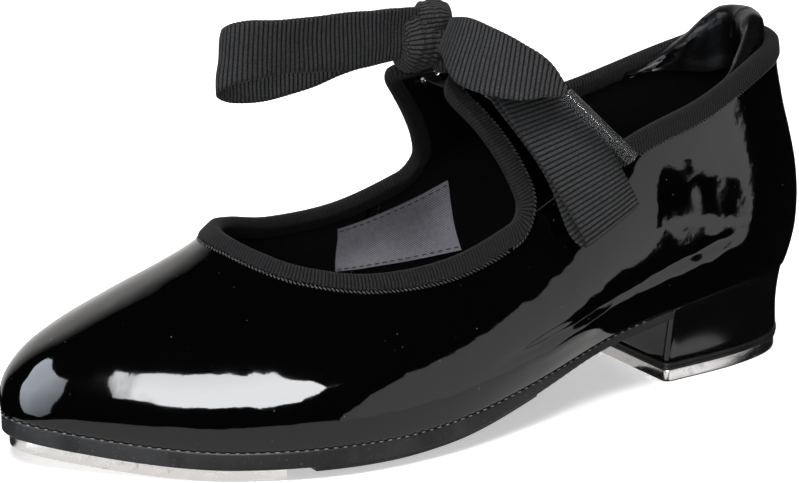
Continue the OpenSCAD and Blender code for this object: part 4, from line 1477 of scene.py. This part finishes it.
def simulate_roll(start, inside):
    """Outer skin of the roll after the simulation, kept close to its start and clear of its
    inner skin."""
    n, m = start.shape[:2]
    flat = start.reshape(-1, 3)
    faces = tube_faces(n, m, flip=True).tolist()
    first, last = list(range(m)), [(n - 1) * m + q for q in range(m)]
    skin = add_mesh("collar_simulation", flat, faces + [first[::-1], last], COLLAR)
    ends = first + last
    sewn = [row * m + q for row in range(n) for q in (0, 1, m - 2, m - 1)]
    moved = pucker(skin, sorted(set(ends + sewn)))
    bpy.data.objects.remove(skin, do_unlink=True)
    step = moved - flat
    size = np.linalg.norm(step, axis=1, keepdims=True)
    step = step * np.minimum(1, SWELL_CAP / np.maximum(size, 1e-6))
    out = unit(flat - inside.reshape(-1, 3))
    rise = np.sum(step * out, axis=1, keepdims=True)
    step = step + (np.maximum(rise, -SINK_CAP) - rise) * out
    return (flat + step).reshape(start.shape)

# ---------- carried-over CAD nodes ----------


def finish_cad_nodes():
    """Gives every CAD node that stays in the model the material of its slot."""
    slots = {part["node"]: part["material_slot"] for part in frame["record"]["subparts"]}
    for name, made in frame["nodes"].items():
        made.data.materials.clear()
        made.data.materials.append(FINISH[slots[name]])


# ---------- stage, light and camera ----------


def compass(azimuth, elevation):
    """Direction: azimuth turns from +Y towards +X, elevation rises from the floor."""
    a, e = math.radians(azimuth), math.radians(elevation)
    return Vector((math.sin(a) * math.cos(e), math.cos(a) * math.cos(e), math.sin(e)))


STAGE_CENTRE = Vector((0, 0, 0.03))


def emission(name, colour, strength, fades=()):
    """Glow of a card. Each fade scales it along one direction of the weave map: the
    direction, the two places in metres between which it changes, and its shares there."""
    material, tree = new_material(name)
    split = node(tree, "SeparateXYZ", {0: node(tree, "UVMap", uv_map="weave").outputs[0]})
    level = math_node(tree, "ADD", strength, 0.0)
    for axis, start, end, low, high in fades:
        share = ramp(tree, split.outputs[axis], low, high, start, end)
        level = math_node(tree, "MULTIPLY", level, share)
    send(tree, node(tree, "Emission", {"Color": colour, "Strength": level}))
    return material


def card(name, azimuth, elevation, distance, corners, colour, strength, fades=()):
    """Lit card seen only in reflections. Its corners are metres right and up on a plane
    that faces the shoe from a direction."""
    d = compass(azimuth, elevation)
    right = Vector((-math.cos(math.radians(azimuth)), math.sin(math.radians(azimuth)), 0))
    up = d.cross(right)
    up = up if up.z > 0 else -up
    centre = STAGE_CENTRE + d * distance
    points = [millimetres(centre + right * x + up * y) for x, y in corners]
    made = add_mesh(name, points, [list(range(len(points)))],
                    emission(name, colour, strength, fades), corners, 0)
    only_reflected(made)


def only_reflected(made):
    made.visible_camera = False
    made.visible_diffuse = False
    made.visible_shadow = False
    made.visible_transmission = True


def soft_light(name, azimuth, elevation, distance, size, power):
    light = bpy.data.lights.new(name, "AREA")
    light.shape = "RECTANGLE"
    light.size, light.size_y = size
    light.energy = power
    made = bpy.data.objects.new(name, light)
    bpy.context.scene.collection.objects.link(made)
    made.location = STAGE_CENTRE + compass(azimuth, elevation) * distance
    made.rotation_euler = compass(azimuth, elevation).to_track_quat("Z", "Y").to_euler()
    made.visible_glossy = False


FLOOR_HALF = 6000.0
FLOOR_Z = -0.05
CARD_Z = -0.4        # cards that lie on the ground, under the floor


def build_floor():
    material = surface(new_material("floor")[0], {
        "Base Color": (0.93, 0.93, 0.93, 1), "Roughness": 1.0, "Specular IOR Level": 0.0,
        "Emission Color": (1, 1, 1, 1), "Emission Strength": 0.5})
    r, z = FLOOR_HALF, FLOOR_Z
    corners = [[-r, -r, z], [r, -r, z], [r, r, z], [-r, r, z]]
    floor = add_mesh("floor", corners, [[0, 1, 2, 3]], material, None, 0)
    floor.visible_glossy = False


def build_reflections():
    card("key_card", 33, 27, 1.4,
         [(-0.74, -0.22), (-0.40, -0.27), (0.05, -0.36), (0.26, -0.44), (0.52, -0.42),
          (0.76, -0.27), (0.40, -0.01), (0.10, 0.20), (-0.07, 0.28), (-0.40, 0.40),
          (-0.65, 0.40), (-0.72, 0.30)], (0.96, 0.98, 1.0, 1), 19.5,
         [(0, -0.77, -0.62, 0.1, 1), (1, 0.0, 0.40, 1.0, 0.86)])
    card("toe_card", 90, 5, 1.0,
         [(0.30, 0.20), (0.22, 0.48), (-0.55, 0.965), (-0.93, 1.07), (-0.88, 0.85),
          (-0.56, 0.54), (-0.27, 0.06), (-0.06, -0.36), (0.18, -0.44), (0.275, -0.31)],
         (0.84, 0.90, 1.0, 1), 8.4, [(1, -0.4, 0.2, 0.42, 1), (0, 0.0, 0.3, 1, 0.5)])
    card("quarter_card", -35, 0, 1.2,
         [(-0.76, -0.27), (-0.40, -0.07), (-0.08, 0.03), (0.06, 0.09), (0.14, 0.20),
          (0.42, 0.23), (0.70, 0.06), (0.73, -0.06), (0.60, -0.26), (0.52, -0.45),
          (0.42, -0.9), (-0.9, -0.9)], (0.98, 0.97, 1.0, 1), 1.15)
    card("dark_card", -53, -9, 1.1,
         [(-0.09, 0.095), (-0.075, 0.141), (0.048, 0.07), (0.075, 0.02), (0.108, 0.042),
          (0.125, 0.03), (0.105, -0.04), (0.10, -0.085), (0.085, -0.118), (0.04, -0.11),
          (-0.04, 0.0)], (1, 1, 1, 1), 0)
    card("rear_wall", 190, 25, 2.0,
         [(-2.2, -1.6), (1.15, -1.6), (1.15, 1.1), (-2.2, 1.1)], (1, 0.985, 0.97, 1), 0.9,
         [(1, 0.1, 1.0, 1, 0), (0, 0.55, 1.15, 1, 0)])
    near = [(125, -20), (136, 37), (160, 80), (104, 111), (65, 102), (30, 82), (-10, 72),
            (-60, 60), (-60, 20), (110, -20)]
    arch = [(30, -95), (30, 5), (-62, 5), (-70, -95)]
    for name, outline, strength in (("floor_card", near, 0.9), ("arch_card", arch, 0.5)):
        strip = add_mesh(name, [[x, y, CARD_Z] for x, y in outline], [list(range(len(outline)))],
                         emission(name, (1, 0.99, 0.98, 1), strength), outline, 0)
        only_reflected(strip)


def build_lights():
    soft_light("overhead", 35, 68, 1.6, (1.0, 0.8), 44)
    soft_light("front", 35, 32, 1.8, (1.6, 0.9), 4)
    soft_light("rear_fill", 205, 35, 1.8, (1.4, 1.0), 9)


def build_world():
    world = bpy.data.worlds.new("studio")
    bpy.context.scene.world = world
    world.use_nodes = True
    tree = world.node_tree
    tree.nodes.clear()
    seen = node(tree, "LightPath").outputs["Is Camera Ray"]
    glow = node(tree, "Background", {"Color": (1, 1, 1, 1),
                                     "Strength": ramp(tree, seen, 0.006, 1.0)})
    send(tree, glow, "World")


CAMERA_AZIMUTH = 31.0
CAMERA_PITCH = 16.05
IMAGE_WIDTH = 799
FOCAL_PIXELS = 3534.0


def build_camera():
    camera = bpy.data.cameras.new("camera")
    camera.sensor_width = 36.0
    camera.lens = FOCAL_PIXELS * camera.sensor_width / IMAGE_WIDTH
    made = bpy.data.objects.new("camera", camera)
    bpy.context.scene.collection.objects.link(made)
    made.location = (0.4331, 0.7057, 0.2795)
    made.rotation_euler = compass(CAMERA_AZIMUTH, CAMERA_PITCH).to_track_quat("Z", "Y").to_euler()
    bpy.context.scene.camera = made


# ---------- the whole object ----------

finish_cad_nodes()
build_sole()
build_toe_tap()
build_heel()
build_sock()
build_welt_stitches()
build_upper()
build_back_stay()
build_tab(1, "lateral_tab")
build_tab(-1, "medial_tab")
build_linings()
build_label()
build_bindings()
build_bow()
build_eyelet(1, "lateral_eyelet")
build_eyelet(-1, "medial_eyelet")
build_collar()
build_floor()
build_reflections()
build_lights()
build_world()
build_camera()

bpy.context.scene.view_settings.view_transform = "Standard"
